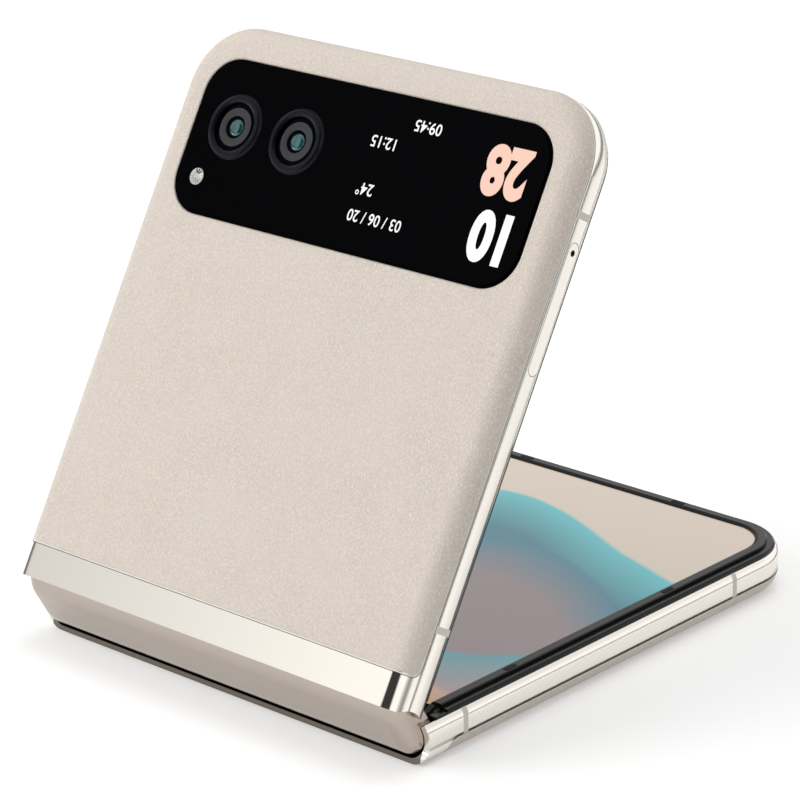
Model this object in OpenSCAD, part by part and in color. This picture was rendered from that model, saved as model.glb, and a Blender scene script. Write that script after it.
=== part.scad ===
// Clamshell foldable phone: two slim halves on a two-axis geared hinge, with one flexible
// screen across both. Everything is drawn laid open and flat, with x across the phone,
// s (drawn as y) along it from the fold line and z up from the outer face, and is then
// folded to the stored opening angle. The base half lies on its back cover.

/* [Body] */
// Width across the phone
body_w = 74; // [70:0.5:78]
// Length of each half, from the fold line to its free end
half_len = 85.4; // [82:0.2:92]
// Thickness of each half, bezel included
half_t = 7.35; // [7.2:0.05:8.2]
// Height of the metal frame, which the bezel stands above
frame_t = 6.6; // [6.5:0.05:6.8]
// Plan radius of the corners at the free ends
corner_r = 10; // [8:0.5:12]
// Radius of the long edges at the outer face
edge_r = 3; // [2.6:0.1:3.2]
// Radius of the long edges at the screen side
inner_edge_r = 1.4; // [1:0.1:1.5]
// Angle between the two inner faces as stored
open_angle = 60; // [40:5:120]

/* [Hinge] */
// Depth of the fold axes under the inner faces
axis_depth = 1.5; // [1.4:0.05:1.7]
// Gap between the inner faces when closed
closed_gap = 1.1; // [0.9:0.05:1.3]
// Wall of the frame under the hinge
lip_t = 0.8; // [0.7:0.05:1]
// Running gap between the spine and the frames
hinge_clear = 0.12; // [0.08:0.02:0.2]
// Wall of the spine cover
spine_wall = 0.7; // [0.5:0.05:0.8]
// Thickness of the frame's side walls beside the spine
cheek_t = 1; // [0.8:0.05:1.2]
// Rounding of the spine's long ends
spine_end_r = 2.2; // [1.8:0.1:2.4]
// Gap between the two frames at the fold line when open
fold_gap = 0.2; // [0.1:0.05:0.3]
// Inner radius of the curved hinge tongues
tongue_ri = 2; // [1.8:0.05:2.1]
// Outer radius of the curved hinge tongues
tongue_ro = 3; // [2.8:0.05:3.1]
// Width of each hinge tongue
tongue_w = 3.6; // [2.5:0.1:4.5]
// Running gap of the tongues in their bracket
tongue_clear = 0.06; // [0.03:0.01:0.1]
// Distance of each hinge bracket's middle from the phone's side
bracket_inset = 10; // [9.5:0.5:13]
// Walls of the hinge brackets and of the gearbox
bracket_wall = 0.8; // [0.6:0.1:1.2]
// Thickness of the arms that join the tongues to the frames
arm_t = 0.85; // [0.7:0.05:0.9]
// Reach of the arms past the fold line
arm_reach = 12; // [11:0.5:14]

/* [Gears] */
// Teeth on each synchronising pinion
pinion_teeth = 10; // [10:1:12]
// Teeth on the full circle of the sector gears
sector_teeth = 37; // [35:1:39]
// Width of the pinion row
pinion_w = 2.2; // [1.6:0.1:3]
// Width of each sector gear
sector_w = 1.5; // [1:0.1:2]
// Radius of the pinion shafts
shaft_r = 0.3; // [0.2:0.02:0.36]
// Radial clearance of the shafts in their bores
shaft_clear = 0.02; // [0.01:0.005:0.04]

/* [Screen] */
// Thickness of the flexible screen
screen_t = 0.65; // [0.5:0.05:0.7]
// Thickness of the steel plate under the screen
plate_t = 0.4; // [0.3:0.05:0.45]
// Depth of the screen's face under the inner face of the half
screen_drop = 0.4; // [0.3:0.05:0.5]
// Length of screen on each side of the fold line that is free to bend
fold_free = 5; // [4.5:0.25:6]
// Width of metal outside the bezel
bezel_inset = 0.5; // [0.4:0.05:0.7]
// Width of the bezel, lip included
bezel_w = 3; // [2.6:0.1:3.4]
// Width of the bezel's upright wall
bezel_wall = 1.45; // [1.3:0.05:1.6]
// Width of the low step outside the bezel's crest
bezel_step = 1.2; // [0.9:0.05:1.25]
// Depth of that step under the crest
bezel_step_h = 0.5; // [0.4:0.05:0.6]
// Distance of the bezel's ends from the fold line
bezel_start = 5; // [4.6:0.1:6]
// Distance of the low tails at those ends from the fold line
bezel_tail = 2.6; // [2.4:0.1:4]

/* [Back covers] */
// Width of metal between the edge and the back covers
cover_inset = 1; // [0.8:0.1:1.3]
// Gap all round the back covers
cover_gap = 0.08; // [0.04:0.02:0.15]
// Thickness of the back covers
cover_t = 0.9; // [0.7:0.05:1]
// Metal band between the fold line and the back covers
band_len = 5.1; // [4:0.1:8]
// Corner radius of the back covers beside that band
band_r = 1.5; // [1:0.1:2.5]
// Wall of the frame around the inside
frame_wall = 2.4; // [2:0.1:2.8]

/* [Outer window] */
// Width of the glass strip that covers the cameras and outer screen
glass_w = 64.4; // [56:0.2:66]
// Length of the glass strip along the phone
glass_len = 23.2; // [20:0.2:26]
// Distance of the strip's middle from the free end
glass_from_end = 17; // [15.4:0.2:21]
// Corner radius of the strip
glass_r = 5.6; // [4:0.2:8]
// Height that the strip stands proud of the back cover
glass_proud = 0.2; // [0:0.05:0.4]
// Thickness of the glass strip
glass_t = 1.1; // [0.9:0.05:1.2]
// Distance of the outer camera from the side of the strip
camera_inset = 8.2; // [7:0.2:10]
// Spacing of the two cameras
camera_pitch = 12; // [10.5:0.5:13]
// Distance of the cameras past the middle of the strip
camera_past = 1.8; // [0:0.2:3]
// Outer radius of the camera rings
ring_ro = 4.9; // [4.4:0.1:5]
// Inner radius of the camera rings
ring_ri = 3.9; // [3.2:0.1:4.2]
// Height of the camera rings over the glass
ring_h = 0.45; // [0.2:0.05:0.8]
// Radius of the flash lens
flash_r = 1.25; // [1:0.05:1.6]

/* [Keys and tray] */
// Length of the power key
power_len = 12; // [9:0.5:14]
// Distance of the power key's middle from the free end
power_from_end = 47.4; // [44:0.2:50]
// Length of the volume key
volume_len = 19; // [15:0.5:21]
// Distance of the volume key's middle from the free end
volume_from_end = 26.4; // [24:0.2:28]
// Height of the keys along the phone's thickness
key_h = 2.2; // [1.8:0.1:2.6]
// Height that the keys stand out of the frame
key_proud = 0.4; // [0.3:0.05:0.6]
// Gap round the keys and the card tray
key_gap = 0.08; // [0.05:0.01:0.12]
// Travel of the power key
key_travel = 0.25; // [0.15:0.05:0.35]
// Length of the card tray's face
tray_len = 18.6; // [17:0.2:20]
// Distance of the tray's middle from the free end
tray_from_end = 28.4; // [26:0.2:31]
// Height of the tray's face
tray_h = 2; // [1.8:0.1:2.2]
// Depth of the tray inside the phone
tray_depth = 15; // [14:0.5:17]
// Radius of the eject hole
eject_r = 0.45; // [0.35:0.05:0.6]

/* [Ports and inner parts] */
// Width of the charging socket's mouth
usb_w = 8.34; // [8.2:0.02:8.4]
// Height of the charging socket's mouth
usb_h = 2.56; // [2.4:0.02:2.6]
// Shell of the charging socket
usb_shell = 0.3; // [0.2:0.05:0.4]
// Depth of the charging socket
usb_depth = 7.2; // [6:0.2:8]
// Number of sound holes
sound_holes = 5; // [3:1:7]
// Radius of each sound hole
sound_r = 0.6; // [0.4:0.05:0.8]
// Width of the lines of plastic in the metal frame
break_w = 1; // [0.6:0.1:1.6]
// Thickness of the circuit boards
board_t = 0.8; // [0.6:0.1:1]
// Thickness of the battery cells
cell_t = 3.8; // [3:0.1:4]
// Height of the rubber bumpers over the bezel
bumper_h = 0.3; // [0.2:0.05:0.5]

/* [Hidden] */
$fn = 64;

// ---- derived sizes -------------------------------------------------------
eps = 0.01;
half_w = body_w / 2;
axis_gap = closed_gap + 2 * axis_depth;   // distance between the two fold axes
axis_s = axis_gap / 2;
axis_z = half_t - axis_depth;
fold_turn = (180 - open_angle) / 2;       // turn of each axis from open flat to stored
pocket_r = axis_z - lip_t;                // pocket in the frames about each axis
spine_r = pocket_r - hinge_clear;         // outside of the spine about each axis
spine_ri = spine_r - spine_wall;
pocket_x = half_w - cheek_t;
spine_x = pocket_x - hinge_clear;
trough_span = 75;                         // arc of the spine cover on each side
trough_floor = axis_z - spine_ri;
screen_top = half_t - screen_drop;
screen_bottom = screen_top - screen_t;
plate_bottom = screen_bottom - plate_t;
seat_z = plate_bottom;                    // floor of the screen recess
step_z = half_t - bezel_step_h;
web_t = 0.4;                              // floor between the screen and the inside
cavity_top = seat_z - web_t;
cavity_bottom = cover_t + 0.05;
cavity_start = arm_reach + 0.6;
cheek_end = fold_gap / 2;
screen_half_w = half_w - bezel_inset - bezel_wall - 0.15;
fold_half_w = spine_x - spine_wall - 0.2;
bracket_x = half_w - bracket_inset;
arm_bottom = axis_z - 0.95;
arm_top = arm_bottom + arm_t;
arm_start = axis_s + tongue_ri + 0.15;
screw_s = (axis_s + pocket_r + arm_reach) / 2;
screw_r = 0.6;
screw_head_r = 1.05;
screw_head_h = 0.4;
screw_len = 2.6;
pinion_r = axis_gap / 6;
gear_m = 2 * pinion_r / pinion_teeth;
sector_r = gear_m * sector_teeth / 2;
pinion_z = axis_z - sector_r - pinion_r;
tooth_pitch = 360 / pinion_teeth;
sync_ratio = sector_teeth / pinion_teeth;
bracket_half = tongue_w + 2 * tongue_clear + bracket_wall * 1.5;
zone_x = (tongue_w + 2 * tongue_clear + bracket_wall) / 2;
gear_gap = 0.1;
row_half = pinion_w / 2;
sector_x = row_half + gear_gap + sector_w / 2;
gearbox_half = row_half + 2 * gear_gap + sector_w;
cable_x = 14;
cable_w = 8;
cable_z = 5.2;
cable_t = 0.15;
cable_free = 7.6;
cable_end = 17;
key_z = 4.2;
key_root = 1.5;          // depth of the key's cap behind the frame's side
key_flange = 0.5;
tray_z = cavity_top - 0.1 - tray_h / 2;
cell_clear = 0.3;                         // gap round what lies in a frame
inner_x = half_w - frame_wall - cell_clear;
glass_pos = half_len - glass_from_end;
camera_pos = glass_pos + camera_past;
camera_xs = [-glass_w / 2 + camera_inset, -glass_w / 2 + camera_inset + camera_pitch];
camera_box = 8.4;
glass_bottom = glass_t - glass_proud;
flash_x = -glass_w / 2 + 4.2;
flash_s = glass_pos - 6.4;
break_base = [8, half_len - 17.4];
break_cover = [12, half_len - 15.4];
power_pos = half_len - power_from_end;
volume_pos = half_len - volume_from_end;
tray_pos = half_len - tray_from_end;
board_top = cavity_bottom + board_t;
board_z = 2;
speaker_w = 23;
speaker_x = inner_x - 1.3 - speaker_w;    // side of the loudspeaker next to the socket
sound_pitch = 2.4;
card_l = 12.4;                            // standard card, with its clearance
card_w = 9;

// ---- placing -------------------------------------------------------------
module in_base() translate([0, -half_len / 2, 0]) children();

module turn_about(s, angle) translate([0, s, axis_z]) rotate([angle, 0, 0]) translate([0, -s, -axis_z])
  children();

module in_spine() in_base() turn_about(axis_s, -fold_turn) children();

// The cover half is drawn as a base half and mirrored across the fold line.
module in_cover() in_spine() turn_about(-axis_s, -fold_turn) children();

module in_cover_mirrored() in_cover() mirror([0, 1, 0]) children();

// Draws in the plane of s and z, and extrudes along x.
module along_x(width, x = 0) translate([x - width / 2, 0, 0]) rotate([90, 0, 90]) linear_extrude(width)
  children();

module both_sides() for (m = [0, 1]) mirror([m, 0, 0]) children();

// ---- the half's outer form ----------------------------------------------
// Section of the outer edge: x is the depth in from the side, y is the height.
module edge_section(depth, top) {
  difference() {
    square([depth, top]);
    difference() {
      translate([-eps, -eps]) square(edge_r + eps);
      translate([edge_r, edge_r]) circle(edge_r);
    }
    translate([0, top - inner_edge_r]) difference() {
      translate([-eps, 0]) square(inner_edge_r + eps);
      translate([inner_edge_r, 0]) circle(inner_edge_r);
    }
  }
}

// Sweeps a section (depth in from the side, height) round the two sides and the free end.
module edge_sweep(start) {
  run = half_len - corner_r;
  both_sides() {
    translate([half_w, run, 0]) rotate([90, 0, 0]) linear_extrude(run - start) mirror([1, 0, 0]) children();
    translate([half_w - corner_r, run, 0]) rotate_extrude(angle = 90) translate([corner_r, 0]) mirror([1, 0, 0])
      children();
  }
  translate([-(half_w - corner_r), half_len, 0]) rotate([90, 0, 90]) linear_extrude(2 * (half_w - corner_r))
    mirror([1, 0, 0]) children();
}

module half_outer() {
  edge_sweep(cheek_end) edge_section(corner_r, frame_t);
  translate([-(half_w - corner_r), cheek_end, 0])
    cube([2 * (half_w - corner_r), half_len - corner_r - cheek_end, frame_t]);
}

// Plan outline, inset from the edge, starting at a distance from the fold line.
module plan(inset, start, start_r = 0) {
  r = corner_r - inset;
  w = half_w - inset;
  far = half_len - inset;
  difference() {
    union() {
      translate([-w, start]) square([2 * w, far - r - start]);
      translate([-(w - r), far - r - eps]) square([2 * (w - r), r + eps]);
      for (m = [-1, 1]) translate([m * (w - r), far - r]) circle(r);
    }
    if (start_r > 0) for (m = [0, 1]) mirror([m, 0]) translate([-w, start]) difference() {
      translate([-eps, -eps]) square(start_r + eps);
      translate([start_r, start_r]) circle(start_r);
    }
  }
}

module slab(z0, z1) translate([0, 0, z0]) linear_extrude(z1 - z0) children();

module round_rect(w, l, r) {
  square([w - 2 * r, l], center = true);
  square([w, l - 2 * r], center = true);
  for (x = [-1, 1], y = [-1, 1]) translate([x * (w / 2 - r), y * (l / 2 - r)]) circle(r);
}

module stadium(l, h) {
  square([l - h, h], center = true);
  for (m = [-1, 1]) translate([m * (l - h) / 2, 0]) circle(h / 2);
}

// ---- the spine's form ----------------------------------------------------
// Radius across, position along x upwards, with rounded outer corners.
module spine_profile(r, xh, rc) {
  translate([0, -xh + rc]) square([r, 2 * (xh - rc)]);
  translate([0, -xh]) square([r - rc, 2 * xh]);
  for (m = [-1, 1]) translate([r - rc, m * (xh - rc)]) circle(rc);
}

module turned(s, from, span) translate([0, s, axis_z]) rotate([90, 0, 90]) rotate([0, 0, from])
  rotate_extrude(angle = span) children();

module spine_form(r, xh, rc, extra = 0) for (m = [0, 1]) mirror([0, m, 0]) {
  turned(axis_s, -90, trough_span + extra) spine_profile(r, xh, rc);
  translate([0, axis_s, axis_z]) rotate([90, 90, 0]) linear_extrude(axis_s) spine_profile(r, xh, rc);
}

module spine_cover() color("#b9aa97") in_spine() difference() {
  spine_form(spine_r, spine_x, spine_end_r);
  spine_form(spine_ri, spine_x - spine_wall, spine_end_r - spine_wall, 15);
  translate([-spine_x + spine_wall, -axis_s, axis_z - 0.1]) cube([2 * (spine_x - spine_wall), axis_gap, 1]);
}

// Pocket for the spine in a frame, about the frame's own axis.
module hinge_pocket() {
  turned(axis_s, -180, 182) spine_profile(pocket_r, pocket_x, spine_end_r + hinge_clear);
  translate([0, axis_s, axis_z]) rotate([90, 90, 0]) linear_extrude(axis_gap)
    spine_profile(pocket_r, pocket_x, spine_end_r + hinge_clear);
  translate([-pocket_x, -1, axis_z - 0.1]) cube([2 * pocket_x, axis_s + pocket_r + 1, 2]);
}

// What the frame's cheeks lose so that the two halves never meet as they fold.
module fold_relief() {
  difference() {
    translate([-half_w - 1, -1, axis_z]) cube([body_w + 2, axis_s + 1, axis_depth + 1]);
    along_x(body_w + 4) translate([axis_s, axis_z]) circle(axis_s - cheek_end);
  }
  cheek_hollow_r = 4;
  along_x(body_w + 4) translate([0.75 - cheek_hollow_r, axis_z / 2 + 0.5]) circle(cheek_hollow_r);
}

// ---- frames --------------------------------------------------------------
// Places of the tongues of each half. The base's are the outer ones of each bracket.
base_arm_xs = [-bracket_x - zone_x, bracket_x + zone_x];
cover_arm_xs = [-bracket_x + zone_x, bracket_x - zone_x];

// Seats and screw holes for a half's hinge arms, and the seat for its sector gear.
module arm_recesses(xs, gear_x) {
  w = tongue_w + 0.2;
  for (x = xs) translate([x - w / 2, 0, arm_bottom]) cube([w, arm_reach + 0.1, 3]);
  for (x = xs) translate([x, screw_s, arm_bottom - screw_len + 0.3])
    cylinder(r = screw_r - 0.05, h = screw_len);
  ws = sector_w + 0.2;
  translate([gear_x - ws / 2, 0, arm_bottom]) cube([ws, arm_reach + 0.1, 3]);
}

module cable_slot() translate([cable_x - cable_w / 2 - 0.2, 0, cable_z - cable_t - 0.1])
  cube([cable_w + 0.4, cavity_start + 1, cavity_top - cable_z + cable_t + 0.1]);

module frame_blank() difference() {
  half_outer();
  slab(-1, cavity_bottom) plan(cover_inset, band_len, band_r + 0.1);
  slab(0, cavity_top) plan(frame_wall, cavity_start, 1);
  slab(seat_z, frame_t + 1) plan(bezel_inset, -1);
  hinge_pocket();
  fold_relief();
  cable_slot();
}

module break_cuts(places) for (s = places) both_sides()
  translate([half_w - 1.5, s - break_w / 2, -1]) cube([3, break_w, frame_t + 2]);

module antenna_breaks(places) difference() {
  intersection() {
    difference() {
      half_outer();
      slab(-1, cavity_bottom) plan(cover_inset, band_len, band_r + 0.1);
      slab(seat_z, frame_t + 1) plan(bezel_inset, -1);
    }
    break_cuts(places);
  }
  hinge_pocket();
}

module at_free_end(x, z) translate([x, half_len - frame_wall / 2, z]) rotate([90, 0, 0]) children();

sound_xs = [for (i = [0:sound_holes - 1]) speaker_x + 2 + i * sound_pitch];
port_z = 3.5;
port_clear = 0.05;
mic_x = -12;
mic_r = 0.4;

module base_ports() {
  at_free_end(0, port_z) linear_extrude(frame_wall + 2, center = true)
    stadium(usb_w + 2 * (usb_shell + port_clear), usb_h + 2 * (usb_shell + port_clear));
  for (x = sound_xs) at_free_end(x, port_z) cylinder(r = sound_r, h = frame_wall + 2, center = true, $fn = 24);
  at_free_end(mic_x, port_z) cylinder(r = mic_r, h = frame_wall + 2, center = true, $fn = 24);
}

module base_frame() color("#d8d2c6") in_base() difference() {
  frame_blank();
  arm_recesses(base_arm_xs, sector_x);
  break_cuts(break_base);
  base_ports();
}

module at_left(s, z) translate([-half_w, s, z]) rotate([0, -90, 0]) rotate([0, 0, 90]) children();

module at_right(s, z) translate([half_w, s, z]) rotate([0, 90, 0]) rotate([0, 0, 90]) children();

// Key openings, drawn outwards from the side's surface.
module key_opening(len) {
  translate([0, 0, -frame_wall - 1]) linear_extrude(frame_wall + 2)
    stadium(len + 2 * key_gap, key_h + 2 * key_gap);
  translate([0, 0, -frame_wall - 1]) linear_extrude(frame_wall + 1 - key_root + 0.3)
    square([len + 1.6, key_h + 0.4], center = true);
}

module cover_frame() color("#d8d2c6") in_cover_mirrored() difference() {
  frame_blank();
  arm_recesses(cover_arm_xs, -sector_x);
  break_cuts(break_cover);
  at_left(power_pos, key_z) key_opening(power_len);
  at_left(volume_pos, key_z) key_opening(volume_len);
  at_right(tray_pos, tray_z) translate([0, 0, -frame_wall - 1]) linear_extrude(frame_wall + 2)
    stadium(tray_len + 2 * key_gap, tray_h + 2 * key_gap);
  translate([0, half_len - frame_wall - 0.4, earpiece_z]) cube([11, 3, 0.9], center = true);
}

earpiece_z = seat_z - 0.2;

module back_cover() difference() {
  intersection() {
    half_outer();
    slab(-1, cover_t) plan(cover_inset + cover_gap, band_len + cover_gap, band_r);
  }
}

module base_back_cover() color("#d9cfc0") in_base() back_cover();

module glass_plan(grow = 0) translate([0, glass_pos])
  round_rect(glass_w + 2 * grow, glass_len + 2 * grow, glass_r + grow);

module cover_back_cover() color("#d9cfc0") in_cover_mirrored() difference() {
  back_cover();
  slab(-1, cover_t + 1) glass_plan(cover_gap);
}

// ---- bezels and screens --------------------------------------------------
bezel_side = bezel_inset + 0.05;
bezel_edge = 0.15;       // chamfer outside the crest
bezel_slope = 0.5;       // width of the slope down to the screen
step_edge = 0.25;        // chamfer outside the step

module bezel_section() {
  crest = bezel_inset + bezel_step;
  wall = bezel_inset + bezel_wall;
  lip = bezel_inset + bezel_w;
  lip_z = screen_top + 0.05;
  polygon([[bezel_side, seat_z], [bezel_side, step_z - step_edge], [bezel_side + step_edge, step_z],
           [crest, step_z], [crest, half_t - bezel_edge], [crest + bezel_edge, half_t],
           [lip - bezel_slope, half_t], [lip, lip_z + 0.1], [lip, lip_z], [wall, lip_z], [wall, seat_z]]);
}

module bezel() {
  edge_sweep(bezel_start) bezel_section();
  both_sides() translate([half_w - bezel_inset - bezel_step, bezel_tail, seat_z])
    cube([bezel_step - bezel_side + bezel_inset, bezel_start - bezel_tail + 0.1, step_z - step_edge - seat_z]);
}

module base_bezel() color("#101010") in_base() bezel();

module cover_bezel() color("#101010") in_cover_mirrored() bezel();

module screen_plan(start) plan(half_w - screen_half_w, start);

module screen_plate() slab(plate_bottom, screen_bottom) screen_plan(fold_free + 0.4);

module screen() slab(screen_bottom, screen_top) screen_plan(fold_free);

module base_screen_plate() color("silver") in_base() screen_plate();

module cover_screen_plate() color("silver") in_cover_mirrored() difference() {
  screen_plate();
  front_camera_bore();
}

module base_screen() color("#5f8f96") in_base() screen();

module cover_screen() color("#5f8f96") in_cover_mirrored() difference() {
  screen();
  front_camera_bore();
}

// A sheet that bends over one fold axis. A point at s turns about the axis by a share of the
// fold: none at free, where the sheet leaves the half, and all of it at the fold line. The share
// is a smooth step of how far the folded point lies along the chord from start to end.
function turned_pt(s, z, share) = let (a = -share * fold_turn, d = [s - axis_s, z - axis_z])
  [axis_s + d[0] * cos(a) - d[1] * sin(a), axis_z + d[0] * sin(a) + d[1] * cos(a)];
function smooth(t) = let (c = min(1, max(0, t))) c * c * (3 - 2 * c);
function along_chord(p, a, b) = ((p - a) * (b - a)) / ((b - a) * (b - a));
function fold_share(s, z, a, b, share, n) = n == 0 ? share
  : fold_share(s, z, a, b, (share + smooth(along_chord(turned_pt(s, z, share), a, b))) / 2, n - 1);
function fold_line(s, z, mid, free) = let (a = [free, mid], b = turned_pt(0, mid, 1))
  turned_pt(s, z, fold_share(s, mid, a, b, smooth(1 - s / free), 24));

// Section, in s and z of the base half, of the sheet's part on the base side of the fold line.
module fold_section(z0, z1, free, steps = 14) {
  mid = (z0 + z1) / 2;
  polygon(concat(
    [for (i = [0:steps]) fold_line(free * (1 - i / steps) - eps, z0, mid, free)],
    [for (i = [steps:-1:0]) fold_line(free * (1 - i / steps) - eps, z1, mid, free)]));
}

// Both sides of a folded sheet. The second is the first's mirror image across the spine.
module folded_sheet(width, x, z0, z1, free, tail) {
  for (m = [0, 1]) in_spine() mirror([0, m, 0]) turn_about(axis_s, fold_turn)
    along_x(width, x) {
      fold_section(z0, z1, free);
      if (tail > 0) translate([free - eps, z0]) square([tail + eps, z1 - z0]);
    }
}

module screen_fold() color("#5f8f96")
  folded_sheet(2 * fold_half_w, 0, screen_bottom, screen_top, fold_free, 0);

module hinge_flex_cable() color("#c77f2a")
  folded_sheet(cable_w, cable_x, cable_z, cable_z + cable_t, cable_free, cable_end - cable_free);

// ---- hinge ---------------------------------------------------------------
module sector_2d(r, from, to) intersection() {
  circle(r);
  polygon(concat([[0, 0]], [for (i = [0:8]) let (a = from + (to - from) * i / 8) 2 * r * [cos(a), sin(a)]]));
}

module ring_2d(ri, ro, from, to) difference() {
  sector_2d(ro, from, to);
  circle(ri);
}

// Side view of the room inside the spine cover, up to a height.
module trough_2d(top_z) {
  r = spine_ri - 0.02;
  intersection() {
    union() {
      for (m = [0, 1]) mirror([m, 0]) translate([axis_s, axis_z]) sector_2d(r, -91, -90 + trough_span);
      translate([-axis_s, trough_floor]) square([axis_gap, axis_z - trough_floor]);
    }
    translate([-20, trough_floor]) square([40, top_z - trough_floor]);
  }
}

tongue_from = -175;
guide_to = -62;

module bracket_wall_2d() difference() {
  trough_2d(axis_z - 0.4);
  translate([-axis_s, 4.4]) square([axis_gap, 4]);
}

module tongue_zone_2d() {
  difference() {
    trough_2d(axis_z - 1.9);
    translate([axis_s, axis_z]) circle(tongue_ro + tongue_clear);
    translate([axis_s, axis_z]) sector_2d(2 * spine_r, guide_to, 10);
    translate([-axis_s, 4.4]) square([axis_gap, 4]);
  }
  intersection() {
    translate([axis_s, axis_z]) sector_2d(tongue_ri - tongue_clear, -90, 0);
    translate([0, trough_floor]) square([20, axis_z - 0.4 - trough_floor]);
  }
}

module hinge_bracket(side) in_spine() translate([side * bracket_x, 0, 0]) {
  for (x = [-1, 0, 1]) along_x(bracket_wall, x * 2 * zone_x) bracket_wall_2d();
  w = 2 * zone_x - bracket_wall + 2 * eps;
  along_x(w, side * zone_x) tongue_zone_2d();
  along_x(w, -side * zone_x) mirror([1, 0]) tongue_zone_2d();
}

module hinge_bracket_left() color("#8d8f92") hinge_bracket(-1);

module hinge_bracket_right() color("#8d8f92") hinge_bracket(1);

module screw_bore() {
  translate([0, 0, arm_bottom - 1]) cylinder(r = screw_r + 0.06, h = arm_t + 2, $fn = 32);
  translate([0, 0, arm_top - screw_head_h - 0.04]) cylinder(r = screw_head_r + 0.08, h = 3, $fn = 32);
}

module arm_2d() {
  translate([axis_s, axis_z]) intersection() {
    ring_2d(tongue_ri, tongue_ro, tongue_from, 0);
    translate([-10, -10]) square([20, 10 - 0.1]);
  }
  translate([arm_start, arm_bottom]) square([arm_reach - arm_start, arm_t]);
}

module hinge_arm(x) difference() {
  along_x(tongue_w, x) arm_2d();
  translate([x, screw_s, 0]) screw_bore();
}

module hinge_arm_base_left() color("#9b9da0") in_base() hinge_arm(base_arm_xs[0]);

module hinge_arm_base_right() color("#9b9da0") in_base() hinge_arm(base_arm_xs[1]);

module hinge_arm_cover_left() color("#9b9da0") in_cover_mirrored() hinge_arm(cover_arm_xs[0]);

module hinge_arm_cover_right() color("#9b9da0") in_cover_mirrored() hinge_arm(cover_arm_xs[1]);

module arm_screw() {
  translate([0, 0, arm_top - screw_head_h - 0.04]) difference() {
    cylinder(r = screw_head_r, h = screw_head_h, $fn = 32);
    translate([0, 0, screw_head_h - 0.2]) linear_extrude(1)
      for (a = [0, 90]) rotate(a) square([1.2, 0.3], center = true);
  }
  translate([0, 0, arm_bottom - screw_len + 0.5]) cylinder(r = screw_r - 0.05, h = screw_len, $fn = 32);
}

module base_screws() color("#55565a") in_base()
  for (x = base_arm_xs) translate([x, screw_s, 0]) arm_screw();

module cover_screws() color("#55565a") in_cover_mirrored()
  for (x = cover_arm_xs) translate([x, screw_s, 0]) arm_screw();

// ---- gears ---------------------------------------------------------------
pressure = 25;
function inv_deg(a) = tan(a) * 180 / PI - a;
function half_tooth(r, rb, at_pitch) = at_pitch + inv_deg(pressure) - inv_deg(acos(min(1, rb / r)));

module gear_2d(teeth, phase) {
  r = gear_m * teeth / 2;
  rb = r * cos(pressure);
  r_root = r - 1.1 * gear_m;
  r_tip = r + 0.8 * gear_m;
  r_low = max(rb, r_root);
  at_pitch = 90 / teeth * 0.9;
  rs = [for (i = [0:4]) r_low + (r_tip - r_low) * i / 4];
  flank = concat([[r_root, half_tooth(r_low, rb, at_pitch)]], [for (q = rs) [q, half_tooth(q, rb, at_pitch)]]);
  n = len(flank);
  polygon([for (t = [0:teeth - 1], i = [0:2 * n - 1])
    let (f = i < n ? flank[i] : flank[2 * n - 1 - i], a = phase + t * 360 / teeth + (i < n ? -f[1] : f[1]))
      f[0] * [cos(a), sin(a)]]);
}

// Pinion k of the row of four, counted from the base's side.
module pinion(k, x0, x1, spin) in_spine()
  translate([0, axis_s - (k - 1) * 2 * pinion_r, pinion_z]) rotate([spin, 0, 0]) rotate([90, 0, 90]) {
    translate([0, 0, x0]) linear_extrude(x1 - x0) gear_2d(pinion_teeth, k % 2 == 1 ? 0 : tooth_pitch / 2);
    shaft_half = gearbox_half + bracket_wall;
    translate([0, 0, -shaft_half]) cylinder(r = shaft_r, h = 2 * shaft_half, $fn = 32);
  }

long_pinion = row_half + gear_gap + sector_w;

module sync_pinion_1() color("#c9a45a") pinion(1, -row_half, long_pinion, -sync_ratio * fold_turn);

module sync_pinion_2() color("#c9a45a") pinion(2, -row_half, row_half, sync_ratio * fold_turn);

module sync_pinion_3() color("#c9a45a") pinion(3, -row_half, row_half, -sync_ratio * fold_turn);

module sync_pinion_4() color("#c9a45a") pinion(4, -long_pinion, row_half, sync_ratio * fold_turn);

sector_from = 172;
sector_to = 278;

// Toothed part of the sector, a plain ring on to the arm, and the arm itself.
module sector_gear_2d(phase) {
  translate([axis_s, axis_z]) intersection() {
    difference() {
      union() {
        intersection() {
          gear_2d(sector_teeth, phase);
          sector_2d(2 * sector_r, sector_from, sector_to);
        }
        sector_2d(sector_r - 1.1 * gear_m, sector_to - 5, 360);
      }
      circle(sector_r - 1);
    }
    translate([-10, -10]) square([20, 10 - 0.1]);
  }
  translate([axis_s + sector_r - 0.6, arm_bottom]) square([arm_reach - axis_s - sector_r + 0.6, arm_t]);
}

module sector_gear(phase) along_x(sector_w, sector_x) sector_gear_2d(phase);

module sector_gear_base() color("#c9a45a") in_base() sector_gear(270);

module sector_gear_cover() color("#c9a45a") in_cover_mirrored() mirror([1, 0, 0])
  sector_gear(270 + 180 / sector_teeth);

module sync_gearbox() color("#8d8f92") in_spine() {
  for (m = [-1, 1]) difference() {
    along_x(bracket_wall, m * (gearbox_half + bracket_wall / 2)) bracket_wall_2d();
    for (k = [0:3]) translate([0, axis_s - k * 2 * pinion_r, pinion_z]) rotate([0, 90, 0])
      cylinder(r = shaft_r + shaft_clear, h = 40, center = true, $fn = 32);
  }
  tie_s = axis_s + pinion_r + 2.2 * gear_m;
  along_x(2 * gearbox_half + 2 * eps) for (m = [0, 1]) mirror([m, 0]) difference() {
    intersection() {
      trough_2d(axis_z - 2.2);
      translate([tie_s, 0]) square([10, 10]);
    }
    translate([axis_s, axis_z]) circle(sector_r + 1.2 * gear_m);
  }
}

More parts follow.
